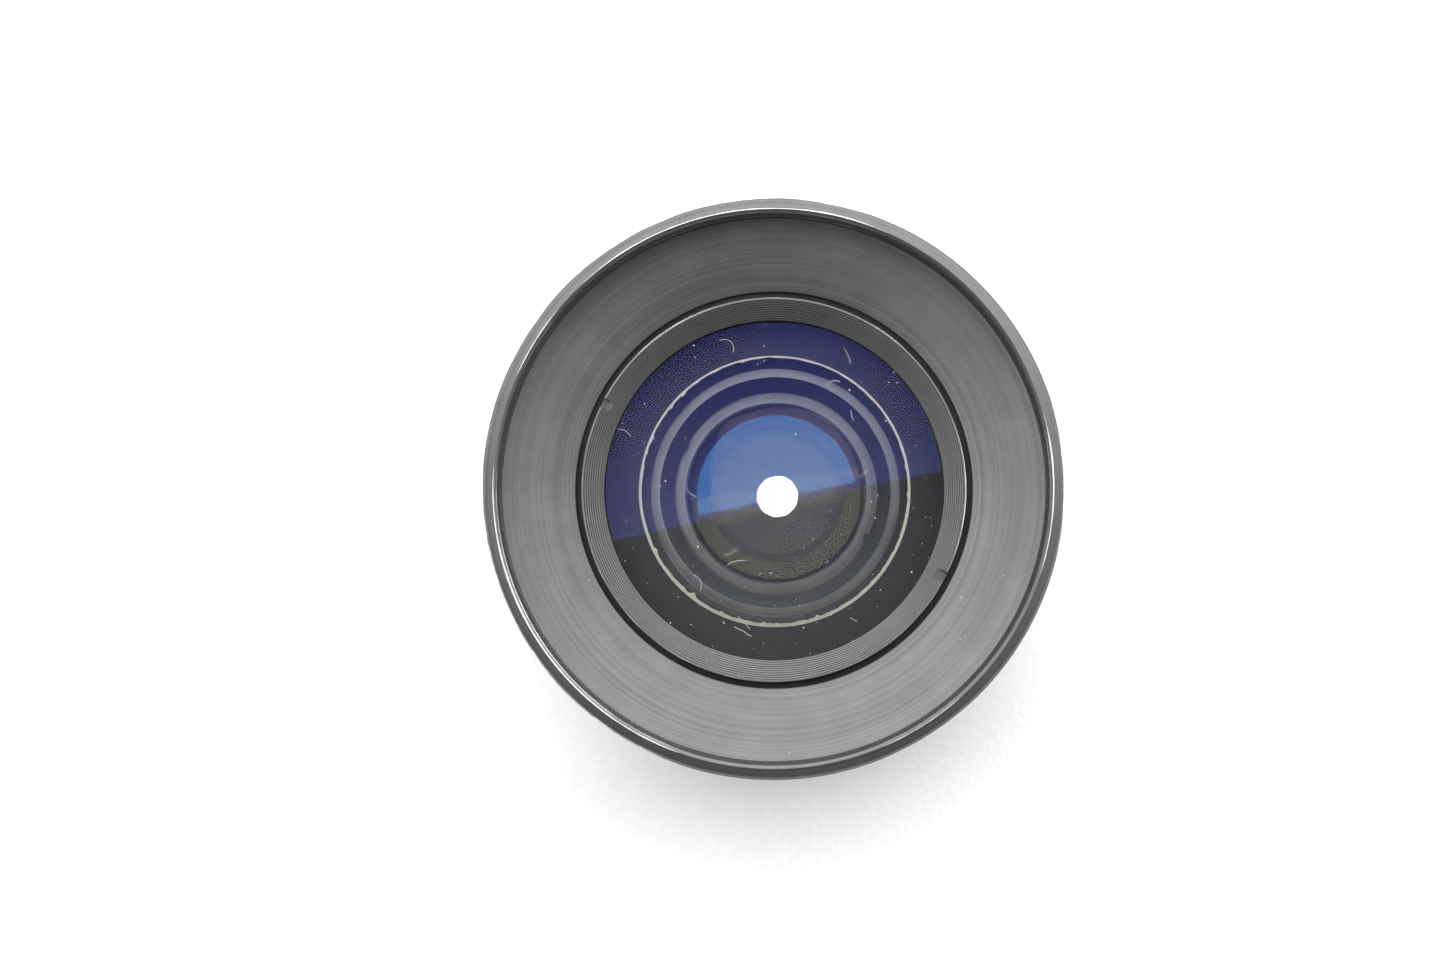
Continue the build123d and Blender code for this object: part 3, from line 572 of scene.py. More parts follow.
def scaled(colour, share):
    """A lighter or darker copy of a colour, with its alpha."""
    return (*[min(share * part, 1.0) for part in colour], 1)


def add_turning_tangent(material):
    """Points the stretched highlights of a turned surface round its axis."""
    graph = Graph(material.node_tree)
    shader = next(node for node in graph.tree.nodes if node.type == "BSDF_PRINCIPLED")
    tangent = graph.add("ShaderNodeTangent", {"direction_type": "RADIAL", "axis": "Z"})
    graph.tree.links.new(tangent.outputs[0], shader.inputs["Tangent"])


def blackened(name, colour, roughness, lines=4.0, marks=0.12, metal=0.0, edges=(), dust=0.1, **plain):
    """Black anodised metal with tool marks, worn edges and dust. Edges are (radius, height, amount)."""
    made, graph, shader = new_material(name)
    turned_marks = graph.group("Turned Marks", Lines_per_mm=lines)
    grain = graph.group("Fine Grain")
    streaks = graph.math("MULTIPLY", turned_marks.outputs["Bands"], 0.35)
    tone = graph.math("ADD", turned_marks.outputs["Marks"], streaks)
    swing = 2.2 * marks
    tone = graph.ramp(tone, 0.45, 0.9, 1.0 - swing, 1.0 + swing)
    dark = graph.blend(grain.outputs["Cloud"], scaled(colour, 0.95), scaled(colour, 1.05))
    base = graph.add("ShaderNodeVectorMath", {"operation": "SCALE"}, i0=dark, Scale=tone).outputs[0]
    bare = None
    for radius, height, amount in edges:
        worn = graph.group("Worn Edge", Edge_radius=radius, Edge_height=height, Amount=amount)
        mask = worn.outputs["Mask"]
        bare = mask if bare is None else graph.math("MAXIMUM", bare, mask)
    rough = graph.ramp(grain.outputs["Grain"], 0.3, 0.7, roughness - 0.04, roughness + 0.05)
    if bare is not None:
        base = graph.blend(bare, base, BARE_METAL)
        graph.tree.links.new(graph.ramp(bare, 0.0, 1.0, metal, 1.0), shader.inputs["Metallic"])
    else:
        set_plain(shader, Metallic=metal)
    dusty = graph.group("Settled Dust", Film=0.35 * dust, Speck_share=dust)
    base = graph.blend(dusty.outputs["Mask"], base, DUST_GREY)
    rough = graph.math("ADD", rough, graph.math("MULTIPLY", dusty.outputs["Mask"], 0.4), True)
    height = graph.math("ADD", turned_marks.outputs["Marks"], grain.outputs["Grain"])
    bump = graph.add("ShaderNodeBump", Strength=0.16, Distance=0.02 * MM, Height=height)
    graph.tree.links.new(base, shader.inputs["Base Color"])
    graph.tree.links.new(rough, shader.inputs["Roughness"])
    graph.tree.links.new(bump.outputs[0], shader.inputs["Normal"])
    set_plain(shader, **plain)
    return made


def bright_steel(name, colour, roughness):
    """Bare or polished steel with faint rubbing marks."""
    made, graph, shader = new_material(name)
    grain = graph.group("Fine Grain", Grain_per_mm=5.0)
    base = graph.blend(grain.outputs["Cloud"], scaled(colour, 0.85), scaled(colour, 1.1))
    rough = graph.ramp(grain.outputs["Grain"], 0.3, 0.7, roughness * 0.8, roughness * 1.3)
    bump = graph.add(
        "ShaderNodeBump", Strength=0.1, Distance=0.01 * MM, Height=grain.outputs["Grain"]
    )
    graph.tree.links.new(base, shader.inputs["Base Color"])
    graph.tree.links.new(rough, shader.inputs["Roughness"])
    graph.tree.links.new(bump.outputs[0], shader.inputs["Normal"])
    set_plain(shader, Metallic=1.0)
    return made


def coated_glass(name, tint, film, film_ior, ior, level):
    """Polished optical glass with a thin antireflection layer and the faintest surface haze."""
    made, graph, shader = new_material(name)
    haze = graph.group("Fine Grain", Grain_per_mm=1.2)
    base = graph.blend(haze.outputs["Cloud"], (0.985, 0.99, 0.985, 1), (1, 1, 1, 1))
    rough = graph.ramp(haze.outputs["Cloud"], 0.55, 0.8, 0.0, 0.012)
    graph.tree.links.new(base, shader.inputs["Base Color"])
    graph.tree.links.new(rough, shader.inputs["Roughness"])
    set_plain(shader, Transmission_Weight=1.0, IOR=ior)
    set_plain(shader, Thin_Film_Thickness=film, Thin_Film_IOR=film_ior)
    set_plain(shader, Specular_Tint=(*tint, 1), Specular_IOR_Level=level)
    return made


def pale_matter(name, colour, spread, roughness=0.8, bumpiness=0.3):
    """Paint, dust or ground glass: a pale dull surface that varies a little."""
    made, graph, shader = new_material(name)
    grain = graph.group("Fine Grain", Grain_per_mm=4.0)
    base = graph.blend(
        graph.math("MULTIPLY", grain.outputs["Grain"], grain.outputs["Cloud"]),
        (*[max(part - spread, 0.0) for part in colour], 1),
        (*[min(part + spread, 1.0) for part in colour], 1),
    )
    bump = graph.add(
        "ShaderNodeBump", Strength=bumpiness, Distance=0.03 * MM, Height=grain.outputs["Grain"]
    )
    graph.tree.links.new(base, shader.inputs["Base Color"])
    graph.tree.links.new(bump.outputs[0], shader.inputs["Normal"])
    set_plain(shader, Roughness=roughness)
    return made


def white_hide(colour):
    """The pale, finely wrinkled sheet that the lens stands on."""
    made, graph, shader = new_material("white_hide")
    place = object_place(graph)
    bend = graph.add("ShaderNodeTexNoise", Vector=place, Scale=60.0, Detail=2.0)
    shift = graph.add(
        "ShaderNodeVectorMath", {"operation": "SCALE"}, i0=bend.outputs["Color"], Scale=0.012
    )
    moved = graph.add("ShaderNodeVectorMath", {"operation": "ADD"}, i0=place, i1=shift.outputs[0])
    edges = {"feature": "DISTANCE_TO_EDGE"}
    cells = graph.add("ShaderNodeTexVoronoi", edges, Vector=moved.outputs[0], Scale=800.0)
    creases = graph.ramp(cells.outputs["Distance"], 0.0, 0.3)
    folds = graph.add("ShaderNodeTexNoise", Vector=moved.outputs[0], Scale=260.0, Detail=4.0)
    height = graph.math("ADD", graph.math("MULTIPLY", creases, 0.5), folds.outputs[0])
    # the creases are painted 3% darker: painted shade in the creases
    base = graph.blend(creases, scaled(colour, 0.97), (*colour, 1))
    bump = graph.add("ShaderNodeBump", Strength=0.3, Distance=0.1 * MM, Height=height)
    graph.tree.links.new(base, shader.inputs["Base Color"])
    graph.tree.links.new(bump.outputs[0], shader.inputs["Normal"])
    set_plain(shader, Roughness=0.7)
    return made


def glow(strength):
    """The even light of the bright sheet that shows through the open iris."""
    made, graph, shader = new_material("bright_sheet")
    cloud = graph.add("ShaderNodeTexNoise", Scale=40.0)
    colour = graph.blend(cloud.outputs[0], (1.0, 0.985, 0.95, 1), (1.0, 1.0, 0.98, 1))
    graph.tree.links.new(colour, shader.inputs["Emission Color"])
    set_plain(shader, Emission_Strength=strength, Base_Color=(0.9, 0.9, 0.9, 1))
    return made


# ---------------------------------------------------------------- settings


class MetalLook(bpy.types.PropertyGroup):
    """Sizes and colours of the turned metal."""

    edge_rounding: FloatProperty(
        name="Edge rounding",
        description="How far each turned edge is broken",
        default=0.045 * MM,
        min=0.0,
        subtype="DISTANCE",
    )
    black: FloatVectorProperty(
        name="Black",
        description="Colour of the anodised metal",
        default=(0.075, 0.074, 0.073),
        size=3,
        subtype="COLOR",
    )
    inner_black: FloatVectorProperty(
        name="Inner black",
        description="Colour of the metal round the inner glasses",
        default=(0.055, 0.056, 0.058),
        size=3,
        subtype="COLOR",
    )
    roughness: FloatProperty(
        name="Roughness",
        description="How satin the anodised metal is",
        default=0.4,
        min=0.05,
        max=1.0,
    )
    wear: FloatProperty(
        name="Wear",
        description="How much bare metal shows along the edges",
        default=0.5,
        min=0.0,
        max=1.0,
    )


class GlassLook(bpy.types.PropertyGroup):
    """Colours and coating of the glass."""

    outer_tint: FloatVectorProperty(
        name="Outer tint",
        description="Colour of the reflections of the front glass",
        default=(0.74, 0.5, 1.0),
        size=3,
        subtype="COLOR",
    )
    inner_tint: FloatVectorProperty(
        name="Inner tint",
        description="Colour of the reflections of the glasses inside",
        default=(0.06, 0.36, 1.0),
        size=3,
        subtype="COLOR",
    )
    hollow_tint: FloatVectorProperty(
        name="Hollow tint",
        description="Colour of the reflections of the hollow side of the front glass",
        default=(0.5, 0.55, 1.0),
        size=3,
        subtype="COLOR",
    )
    deep_tint: FloatVectorProperty(
        name="Deep tint",
        description="Colour of the reflections of the glasses behind the second one",
        default=(0.35, 0.5, 0.55),
        size=3,
        subtype="COLOR",
    )
    film: FloatProperty(
        name="Coating thickness",
        description="Thickness of the antireflection layer in nanometres",
        default=118.0,
        min=0.0,
    )
    film_ior: FloatProperty(
        name="Coating index",
        description="Index of refraction of the antireflection layer",
        default=1.32,
        min=1.0,
    )
    chipping: FloatProperty(
        name="Chipping",
        description="Width of the ground and chipped edge behind the front glass",
        default=0.3 * MM,
        min=0.0,
        subtype="DISTANCE",
    )


class MarkLook(bpy.types.PropertyGroup):
    """Sizes and colours of the engraved marks."""

    number_height: FloatProperty(
        name="Number height",
        description="Height of the aperture numbers",
        default=1.15 * MM,
        min=0.0,
        subtype="DISTANCE",
    )
    paint: FloatVectorProperty(
        name="Paint",
        description="Colour of the paint in the engraved marks",
        default=(0.82, 0.81, 0.77),
        size=3,
        subtype="COLOR",
    )
    index_paint: FloatVectorProperty(
        name="Index paint",
        description="Colour of the index dot",
        default=(0.75, 0.06, 0.03),
        size=3,
        subtype="COLOR",
    )


class DustLook(bpy.types.PropertyGroup):
    """Amount of dust and fibres."""

    specks: IntProperty(
        name="Specks",
        description="Number of dust specks on the front glass",
        default=210,
        min=0,
    )
    fibres: IntProperty(
        name="Fibres",
        description="Number of fibres and scratches on the front glass",
        default=16,
        min=0,
    )
    seed: IntProperty(name="Seed", description="Changes where the dust lies", default=7)


class StageLook(bpy.types.PropertyGroup):
    """The floor, the light and the camera."""

    floor_colour: FloatVectorProperty(
        name="Floor",
        description="Colour of the sheet under the lens",
        default=(0.84, 0.84, 0.83),
        size=3,
        subtype="COLOR",
    )
    ceiling_radiance: FloatProperty(
        name="Ceiling light",
        description="Brightness of the large soft light overhead",
        default=4.7,
        min=0.0,
    )
    room_radiance: FloatProperty(
        name="Room light",
        description="Brightness of the dim room round the stage",
        default=0.3,
        min=0.0,
    )
    view_azimuth: FloatProperty(
        name="View azimuth",
        description="Bearing of the camera in degrees",
        default=28.0,
    )
    view_elevation: FloatProperty(
        name="View elevation",
        description="Height of the camera above the horizon in degrees",
        default=87.3,
    )
    focal_length: FloatProperty(
        name="Focal length",
        description="Focal length of the camera in millimetres",
        default=150.0,
        min=1.0,
    )


# ---------------------------------------------------------------- operators


class LENS_OT_bell(bpy.types.Operator):
    """Turn the front bell with broken edges, its filter thread and its screw holes"""

    bl_idname = "lens.bell"
    bl_label = "Front Bell"

    def execute(self, context):
        look = context.scene.lens_metal
        outline = section("front_bell")
        bell = turned("bell", softened(outline, look.edge_rounding), steps=360)
        low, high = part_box("bell_set_screws")
        cutters = []
        for bearing in BELL_SCREW_BEARINGS:
            place = Matrix.Translation(polar(high.y, bearing, (low.z + high.z) / 2))
            place = place @ polar(1, bearing).to_track_quat("Z", "Y").to_matrix().to_4x4()
            cutters.append(rod("screw_hole", SCREW_CLEARANCE, high.y / 2, place))
        cut_away(bell, cutters)
        crest, top = outer_top(outline)
        land = max(point[0] for point in outline if point[1] > top - WELD)
        lip = min(point[0] for point in outline if point[1] > top - 0.3 * MM)
        thread_crest = min(point[0] for point in outline if point[1] > top - MM)
        metal = blackened(
            "bell_black",
            look.black,
            look.roughness,
            lines=6.0,
            marks=0.1,
            metal=0.55,
            edges=[
                (crest, top - RIM_CORNER_DROP, look.wear),
                (land, top, 0.8 * look.wear),
                (lip, top - LIP_DROP, 0.5 * look.wear),
                (thread_crest, top - THREAD_DROP, look.wear),
            ],
            dust=0.12,
            Anisotropic=0.55,
        )
        add_turning_tangent(metal)
        finish_piece(bell, LENS_BODY, metal)
        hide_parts("front_bell")
        return {"FINISHED"}


class LENS_OT_front_ring(bpy.types.Operator):
    """Turn the grooved ring that holds the front glass, with its spanner slots"""

    bl_idname = "lens.front_ring"
    bl_label = "Front Retaining Ring"

    def execute(self, context):
        look = context.scene.lens_metal
        outline = section("front_retaining_ring")
        ring = turned("grooved_ring", softened(outline, 0.5 * look.edge_rounding), steps=360)
        outer, top = outer_top(outline)
        cut_away(ring, spanner_slots(outline, FRONT_SLOT))
        metal = blackened(
            "ring_black",
            look.black,
            look.roughness - 0.02,
            lines=5.0,
            marks=0.04,
            metal=0.5,
            edges=[(outer, top, 0.7 * look.wear)],
            dust=0.1,
            Anisotropic=0.6,
        )
        add_turning_tangent(metal)
        finish_piece(ring, LENS_BODY, metal)
        # the slots get the black at half strength: painted shade in their floors and walls
        slot_shade = blackened("slot_painted_shade", [0.5 * part for part in look.black], 0.55, metal=0.2)
        paint_slot_shade(ring, outline, FRONT_SLOT, slot_shade)
        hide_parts("front_retaining_ring")
        return {"FINISHED"}


class LENS_OT_inner_rings(bpy.types.Operator):
    """Turn the baffle spacer and the ring of the second glass, which show through the front glass"""

    bl_idname = "lens.inner_rings"
    bl_label = "Inner Rings"

    def execute(self, context):
        look = context.scene.lens_metal
        metal = blackened(
            "inner_satin", look.inner_black, look.roughness, lines=6.0, marks=0.12, metal=0.5, dust=0.15
        )
        for node in ("baffle_spacer", "inner_retaining_ring"):
            outline = section(node)
            ring = turned(f"{node}_turned", softened(outline, 0.6 * look.edge_rounding), steps=300)
            if node == "inner_retaining_ring":
                cut_away(ring, spanner_slots(outline, INNER_SLOT))
            finish_piece(ring, LENS_BODY, metal)
            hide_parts(node)
        return {"FINISHED"}


class LENS_OT_glass(bpy.types.Operator):
    """Grind the six glasses with true curves, coatings and blackened edges"""

    bl_idname = "lens.glass"
    bl_label = "Glasses"

    def execute(self, context):
        look = context.scene.lens_glass
        coats = {}
        for name, (tint, share, ior, level) in COATINGS.items():
            coats[name] = coated_glass(
                f"glass_{name}", getattr(look, tint), share * look.film, look.film_ior, ior, level
            )
        paint = blackened("edge_black", (0.006, 0.006, 0.006), 0.9, marks=0.05, dust=0.0)
        for node, (front_coat, rear_coat) in GLASSES.items():
            outline = [(reach, rise + SEAT_GAP) for reach, rise in glass_outline(node)]
            glass = turned(f"{node}_ground", outline, closed=False)
            finish_piece(glass, LENS_BODY, coats[front_coat])
            glass.data.materials.append(paint)
            glass.data.materials.append(coats[rear_coat])
            front, rear = outline[ARC_STEPS], outline[-ARC_STEPS - 1]
            for face in glass.data.polygons:
                reach = math.hypot(face.center.x, face.center.y)
                behind = face.normal.z < 0.1
                if reach > SIDE_SHARE * front[0] or (behind and reach > rear[0]):
                    face.material_index = 1
                elif behind:
                    face.material_index = 2
            glass.visible_shadow = False
            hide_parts(node)
        return {"FINISHED"}


class LENS_OT_ground_edge(bpy.types.Operator):
    """Lay the pale chipped line where the hollow of the front glass meets its flat rim"""

    bl_idname = "lens.ground_edge"
    bl_label = "Ground Edge"

    def execute(self, context):
        width = context.scene.lens_glass.chipping
        outline = glass_outline("front_meniscus")
        reach, height = outline[-ARC_STEPS - 1]
        inside = outline[-ARC_STEPS]
        slope = (inside[1] - height) / (reach - inside[0])
        steps = 720
        gap = 0.012 * MM  # under the surface of the glass
        ring = bmesh.new()
        rows = []
        for step in range(steps):
            bearing = 360 * step / steps
            spot = polar(6.0, bearing)
            rough = noise.noise(spot * 2.0) + 0.6 * noise.noise(spot * 7.0)
            chip = max(noise.noise(spot * 3.1 + Vector((9, 4, 2))) - 0.25, 0.0)
            lean = 0.25 * (1 - math.sin(math.radians(bearing)))
            into = width * (0.55 + 0.25 * rough + 1.6 * chip + lean)
            out = width * (0.2 + 0.12 * noise.noise(spot * 5.0))
            rows.append(
                [
                    ring.verts.new(polar(reach + out, bearing, height - gap)),
                    ring.verts.new(polar(reach, bearing, height - gap)),
                    ring.verts.new(polar(reach - into, bearing, height + slope * into - gap)),
                    ring.verts.new(polar(reach - into, bearing, height + slope * into - 3 * gap)),
                    ring.verts.new(polar(reach, bearing, height - 4 * gap)),
                    ring.verts.new(polar(reach + out, bearing, height - 3 * gap)),
                ]
            )
        for step in range(steps):
            here, there = rows[step], rows[(step + 1) % steps]
            for index in range(len(here)):
                after = (index + 1) % len(here)
                ring.faces.new([here[index], here[after], there[after], there[index]])
        bmesh.ops.recalc_face_normals(ring, faces=ring.faces)
        chipped = settled("ground_edge", ring)
        ground = pale_matter("ground_glass", (0.62, 0.6, 0.54), 0.2)
        finish_piece(chipped, LENS_BODY, ground)
        return {"FINISHED"}


class LENS_OT_metal(bpy.types.Operator):
    """Finish the remaining metal: cells, barrel, iris, rings, screws, ball and spring"""

    bl_idname = "lens.metal"
    bl_label = "Remaining Metal"

    def execute(self, context):
        look = context.scene.lens_metal
        satin = blackened(
            "satin_black", look.black, look.roughness + 0.04, lines=4.0, marks=0.1, metal=0.45, dust=0.12
        )
        deep_black = [0.3 * part for part in look.inner_black]
        matt = blackened(
            "matt_black", deep_black, 0.7, lines=5.0, marks=0.08, dust=0.03, Specular_IOR_Level=0.2
        )
        blade = blackened(
            "blade_black",
            (0.019, 0.022, 0.021),
            0.5,
            lines=1.5,
            marks=0.05,
            metal=0.15,
            dust=0.02,
            Specular_IOR_Level=0.2,
        )
        screw = blackened(
            "screw_black", (0.1, 0.1, 0.1), 0.35, lines=8.0, marks=0.1, metal=0.8, dust=0.1
        )
        refinish(["main_barrel", "index_ring"], satin)
        refinish(
            [
                "front_cell",
                "third_lens_ring",
                "iris_base_ring",
                "iris_cam_ring",
                "iris_cover_ring",
                "rear_cell",
                "doublet_ring",
                "rear_retaining_ring",
            ],
            matt,
        )
        refinish([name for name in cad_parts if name.startswith("iris_blade")], blade)
        refinish(["bell_set_screws", "index_set_screws", "aperture_drive_screw"], screw)
        refinish(["detent_ball"], bright_steel("ball_steel", (0.62, 0.62, 0.63), 0.12))
        refinish(["detent_spring"], bright_steel("spring_steel", (0.5, 0.5, 0.5), 0.3))
        mount_outline = section("mount_ring")
        mount = turned("mount", softened(mount_outline, look.edge_rounding), steps=300)
        flange = max(point[0] for point in mount_outline)
        top = max(point[1] for point in mount_outline if point[0] > flange - WELD)
        edged = blackened(
            "mount_black",
            look.black,
            look.roughness,
            lines=4.0,
            marks=0.1,
            metal=0.5,
            edges=[(flange, top, 0.6 * look.wear), (flange, 0.0, 0.8 * look.wear)],
            dust=0.08,
        )
        finish_piece(mount, LENS_BODY, edged)
        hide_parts("mount_ring")
        return {"FINISHED"}


class LENS_OT_aperture_ring(bpy.types.Operator):
    """Finish the fluted aperture ring with rubbed flutes and broken edges"""

    bl_idname = "lens.aperture_ring"
    bl_label = "Aperture Ring"

    def execute(self, context):
        look = context.scene.lens_metal
        low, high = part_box("aperture_ring")
        metal = blackened(
            "grip_black",
            look.black,
            look.roughness + 0.02,
            lines=4.0,
            marks=0.1,
            metal=0.5,
            edges=[
                (high.x, low.z + FLUTE_FOOT, 0.7 * look.wear),
                (high.x, low.z + FLUTE_TOP, 0.7 * look.wear),
                (high.x - 0.3 * MM, low.z, 0.5 * look.wear),
            ],
            dust=0.12,
        )
        refinish(["aperture_ring"], metal)
        return {"FINISHED"}


class LENS_OT_numbers(bpy.types.Operator):
    """Fill the aperture numbers and their lines with paint, and set the index dot"""

    bl_idname = "lens.numbers"
    bl_label = "Numbers and Index"

    def execute(self, context):
        look = context.scene.lens_marks
        paint = pale_matter("number_paint", look.paint, 0.08, roughness=0.5)
        low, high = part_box("aperture_ring")
        band_low = low.z + BAND_FOOT
        band_radius = high.x - BAND_INSET
        slope = BAND_FALL / (high.z - band_low)
        middle = (band_low + high.z) / 2 + NUMBER_RISE
        radius = band_radius - slope * (middle - band_low)
        line_radius = band_radius - slope * LINE_RISE
        for stop in APERTURE_STOPS:
            bearing = stop_bearing(stop)
            label = bpy.data.curves.new("label", "FONT")
            label.body = f"{stop:g}"
            label.size = look.number_height * 1.35
            label.align_x, label.align_y = "CENTER", "CENTER"
            label.extrude = 0.02 * MM
            label.offset = 0.03 * MM
            flat = new_object("label", label)
            bpy.context.view_layer.update()
            name = f"number_{stop:g}".replace(".", "_")
            number = wrapped(name, flat, radius, slope, middle, bearing)
            finish_piece(number, RING_BODY, paint)
            flat = block("line", LINE_SIZE, Matrix.Identity(4))
            line = wrapped(f"{name}_line", flat, line_radius, slope, band_low + LINE_RISE, bearing)
            finish_piece(line, RING_BODY, paint)
        index_low, index_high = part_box("index_ring")
        dot = bmesh.new()
        bmesh.ops.create_uvsphere(dot, u_segments=32, v_segments=12, radius=DOT_RADIUS)
        bmesh.ops.scale(dot, vec=(DOT_FLATNESS, 1, 1), verts=dot.verts)
        bmesh.ops.translate(
            dot, vec=(index_high.x, 0, (index_low.z + index_high.z) / 2), verts=dot.verts
        )
        dot_paint = pale_matter("index_paint", look.index_paint, 0.04, roughness=0.4)
        finish_piece(settled("index_dot", dot), LENS_BODY, dot_paint)
        return {"FINISHED"}


class LENS_OT_dust(bpy.types.Operator):
    """Scatter dust specks, fibres and fine scratches over the front glass"""

    bl_idname = "lens.dust"
    bl_label = "Dust"

    def execute(self, context):
        look = context.scene.lens_dust
        chance = random.Random(look.seed)
        outline = glass_outline("front_meniscus")
        vertex = outline[0][1]
        edge, edge_height = outline[ARC_STEPS]
        curve = (edge**2 + (vertex - edge_height) ** 2) / (2 * (vertex - edge_height))

        def on_glass(x, y, lift=0.006 * MM):
            reach = math.hypot(x, y)
            return Vector((x, y, vertex - curve + math.sqrt(curve**2 - reach**2) + lift))

        flakes = bmesh.new()
        for _ in range(look.specks):
            reach = edge * 0.985 * math.sqrt(chance.random())
            centre = polar(reach, chance.uniform(0, 360))
            size = MM * (0.03 + 0.06 * chance.random() ** 3)
            if chance.random() < 0.04:
                size *= 2.2
            corners = []
            for side in range(7):
                around = polar(size * chance.uniform(0.6, 1.2), 360 * side / 7)
                corners.append(flakes.verts.new(on_glass(centre.x + around.x, centre.y + around.y)))
            flakes.faces.new(corners)
        for _ in range(look.fibres):
            reach = edge * 0.9 * math.sqrt(chance.random())
            spot = polar(reach, chance.uniform(0, 360))
            heading = chance.uniform(0, 2 * math.pi)
            width = MM * chance.uniform(0.012, 0.022)
            bend = chance.uniform(-0.25, 0.25)
            rows = []
            for _ in range(chance.randint(6, 16)):
                side = Vector((-math.sin(heading), math.cos(heading), 0)) * width
                if math.hypot(spot.x, spot.y) > edge * 0.97:
                    break
                rows.append(
                    [
                        flakes.verts.new(on_glass(spot.x + side.x, spot.y + side.y)),
                        flakes.verts.new(on_glass(spot.x - side.x, spot.y - side.y)),
                    ]
                )
                spot += Vector((math.cos(heading), math.sin(heading), 0)) * 0.16 * MM
                heading += bend + chance.uniform(-0.12, 0.12)
            for here, there in zip(rows, rows[1:]):
                flakes.faces.new([here[0], here[1], there[1], there[0]])
        dust = settled("dust_on_glass", flakes)
        finish_piece(dust, LENS_BODY, pale_matter("dust", (0.75, 0.75, 0.77), 0.15))
        dust.visible_shadow = False
        return {"FINISHED"}


def add_panel(name, size, place, facing, radiance, colour):
    """A soft rectangular light, given by the brightness of its face."""
    lamp = bpy.data.lights.new(name, "AREA")
    lamp.shape = "RECTANGLE"
    lamp.size, lamp.size_y = size
    lamp.energy = radiance * math.pi * size[0] * size[1]
    lamp.color = colour
    holder = bpy.data.objects.new(name, lamp)
    holder.location = place
    holder.rotation_euler = (Vector(place) - Vector(facing)).to_track_quat("Z", "Y").to_euler()
    bpy.context.scene.collection.objects.link(holder)
    return holder


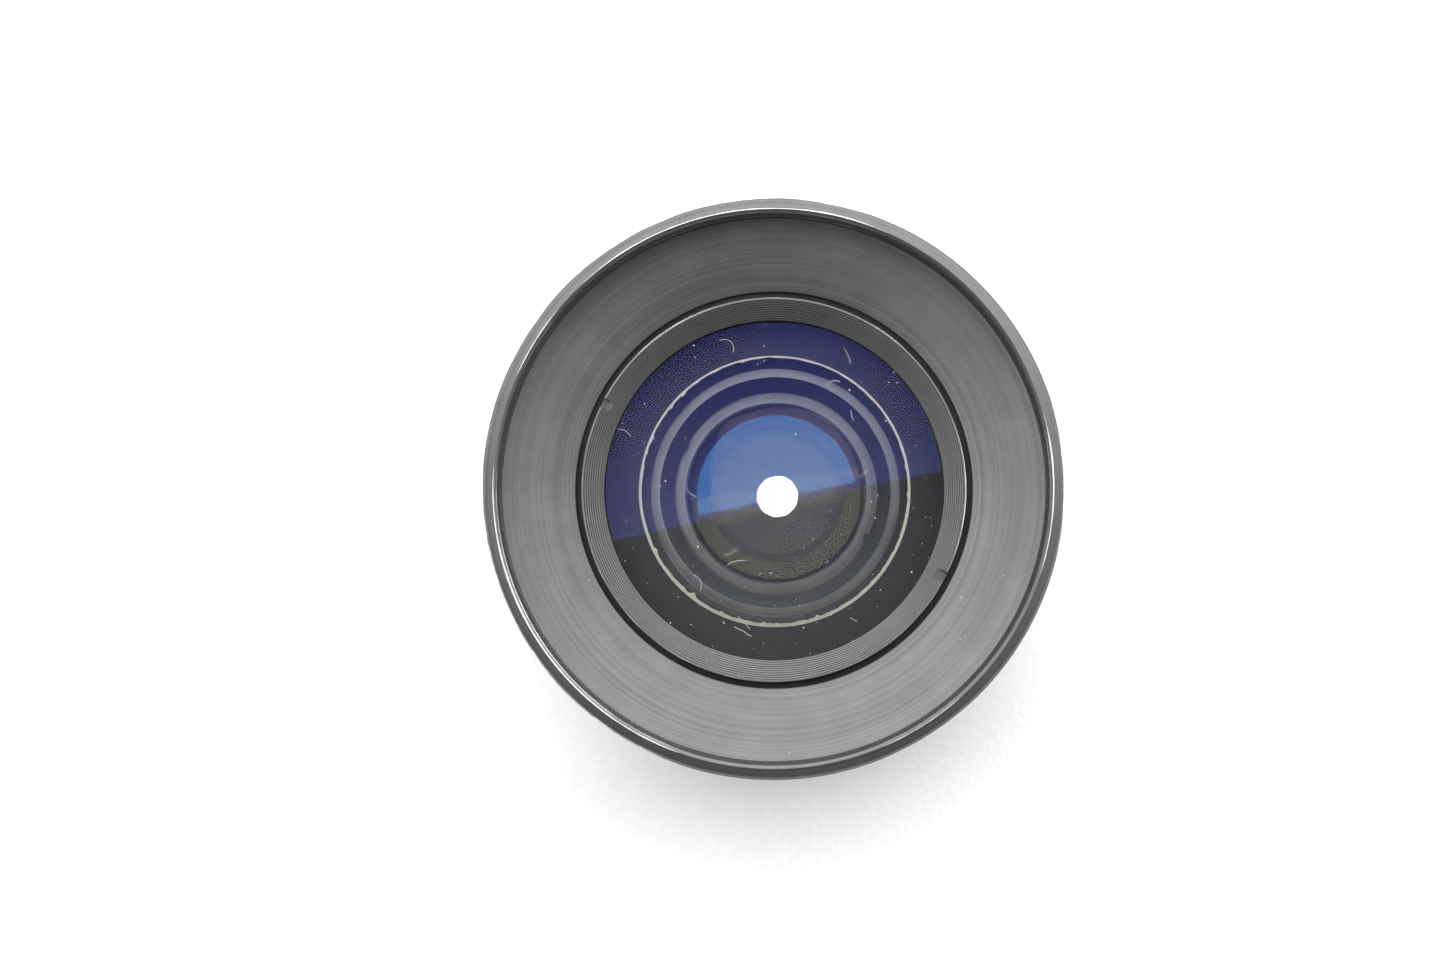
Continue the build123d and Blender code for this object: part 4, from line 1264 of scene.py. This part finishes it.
class LENS_OT_stage(bpy.types.Operator):
    """Set the floor, the bright sheet under the lens, the lights, the room and the camera"""

    bl_idname = "lens.stage"
    bl_label = "Stage"

    def execute(self, context):
        look = context.scene.lens_stage
        self.floor(look)
        self.light(look)
        self.camera(context, look)
        return {"FINISHED"}

    def floor(self, look):
        flat = [(radius, FOOT) for radius in FLOOR_RADII]
        sheet = turned("floor", flat, closed=False, steps=96)
        sheet.data.materials.append(white_hide(look.floor_colour))
        disc = [(radius, FOOT + SHEET_RISE) for radius in (0.0, SHEET_RADIUS)]
        bright = turned("bright_sheet", disc, closed=False, steps=96)
        bright.data.materials.append(glow(SHEET_GLOW))

    def light(self, look):
        below = (*CEILING_PLACE[:2], 0.0)
        ceiling = add_panel(
            "ceiling", CEILING_SIZE, CEILING_PLACE, below, look.ceiling_radiance, (1, 1, 1)
        )
        ceiling.rotation_euler.z += math.radians(CEILING_TURN)
        add_panel("side", SIDE_SIZE, SIDE_PLACE, (0, 0, 0), SIDE_RADIANCE, (1.0, 0.93, 0.86))
        world = bpy.data.worlds.new("room")
        world.use_nodes = True
        graph = Graph(world.node_tree)
        world.node_tree.nodes.clear()
        dim = graph.add(
            "ShaderNodeBackground", Color=(0.95, 0.97, 1.0, 1), Strength=look.room_radiance
        )
        pale = graph.add("ShaderNodeBackground", Color=(1, 1, 1, 1), Strength=BACKDROP_RADIANCE)
        seen = graph.add("ShaderNodeLightPath").outputs["Is Camera Ray"]
        mixed = graph.add("ShaderNodeMixShader", i0=seen, i1=dim.outputs[0], i2=pale.outputs[0])
        graph.add("ShaderNodeOutputWorld", Surface=mixed.outputs[0])
        bpy.context.scene.world = world

    def camera(self, context, look):
        azimuth, elevation = math.radians(look.view_azimuth), math.radians(look.view_elevation)
        back = Vector(
            (
                math.sin(azimuth) * math.cos(elevation),
                -math.cos(azimuth) * math.cos(elevation),
                math.sin(elevation),
            )
        )
        across = Vector((0, 1, 0)).cross(back).normalized()
        upwards = back.cross(across)
        lens = bpy.data.cameras.new("camera")
        lens.lens = look.focal_length
        lens.sensor_width = SENSOR_WIDTH
        distance = look.focal_length / SENSOR_WIDTH * 2 * RIM_RADIUS * VIEW_WIDTH
        rim_centre = Vector((0, 0, RIM_TOP))
        holder = bpy.data.objects.new("camera", lens)
        place = rim_centre + back * distance
        aim = rim_centre + across * AIM_ACROSS * RIM_RADIUS + upwards * AIM_UP * RIM_RADIUS
        sight = (place - aim).normalized()
        right = upwards.cross(sight).normalized()
        over = sight.cross(right)
        turn = Matrix((right, over, sight)).transposed()
        holder.matrix_world = Matrix.Translation(place) @ turn.to_4x4()
        lens.clip_start = 0.01
        lens.clip_end = 20.0
        context.scene.collection.objects.link(holder)
        context.scene.camera = holder
        context.scene.view_settings.view_transform = "Standard"
        context.scene.view_settings.look = "None"
        cycles = context.scene.cycles
        cycles.caustics_refractive = False
        cycles.caustics_reflective = False
        cycles.max_bounces = 20
        cycles.transmission_bounces = 20
        cycles.transparent_max_bounces = 24


class LENS_PT_finish(bpy.types.Panel):
    """Lists the steps of the lens finish in the sidebar"""

    bl_label = "Enlarger Lens"
    bl_idname = "LENS_PT_finish"
    bl_space_type = "VIEW_3D"
    bl_region_type = "UI"
    bl_category = "Lens"

    def draw(self, context):
        for look in ("lens_metal", "lens_glass", "lens_marks", "lens_dust", "lens_stage"):
            settings = getattr(context.scene, look)
            box = self.layout.box()
            for name in settings.bl_rna.properties.keys():
                if name not in ("rna_type", "name"):
                    box.prop(settings, name)
        for step in STEPS:
            self.layout.operator(step.bl_idname)


LOOKS = {
    "lens_metal": MetalLook,
    "lens_glass": GlassLook,
    "lens_marks": MarkLook,
    "lens_dust": DustLook,
    "lens_stage": StageLook,
}
STEPS = (
    LENS_OT_bell,
    LENS_OT_front_ring,
    LENS_OT_inner_rings,
    LENS_OT_glass,
    LENS_OT_ground_edge,
    LENS_OT_metal,
    LENS_OT_aperture_ring,
    LENS_OT_numbers,
    LENS_OT_dust,
    LENS_OT_stage,
)


def register():
    """Adds the settings, the steps and the panel to Blender."""
    for name, look in LOOKS.items():
        bpy.utils.register_class(look)
        setattr(bpy.types.Scene, name, PointerProperty(type=look))
    for step in STEPS:
        bpy.utils.register_class(step)
    bpy.utils.register_class(LENS_PT_finish)


def unregister():
    """Takes them out again."""
    bpy.utils.unregister_class(LENS_PT_finish)
    for step in reversed(STEPS):
        bpy.utils.unregister_class(step)
    for name, look in LOOKS.items():
        delattr(bpy.types.Scene, name)
        bpy.utils.unregister_class(look)


def main():
    """Runs every step in order."""
    register()
    for make_group in (make_turned_marks, make_worn_edge, make_settled_dust, make_fine_grain):
        make_group()
    for step in STEPS:
        family, action = step.bl_idname.split(".")
        getattr(getattr(bpy.ops, family), action)()


if __name__ == "__main__":
    main()
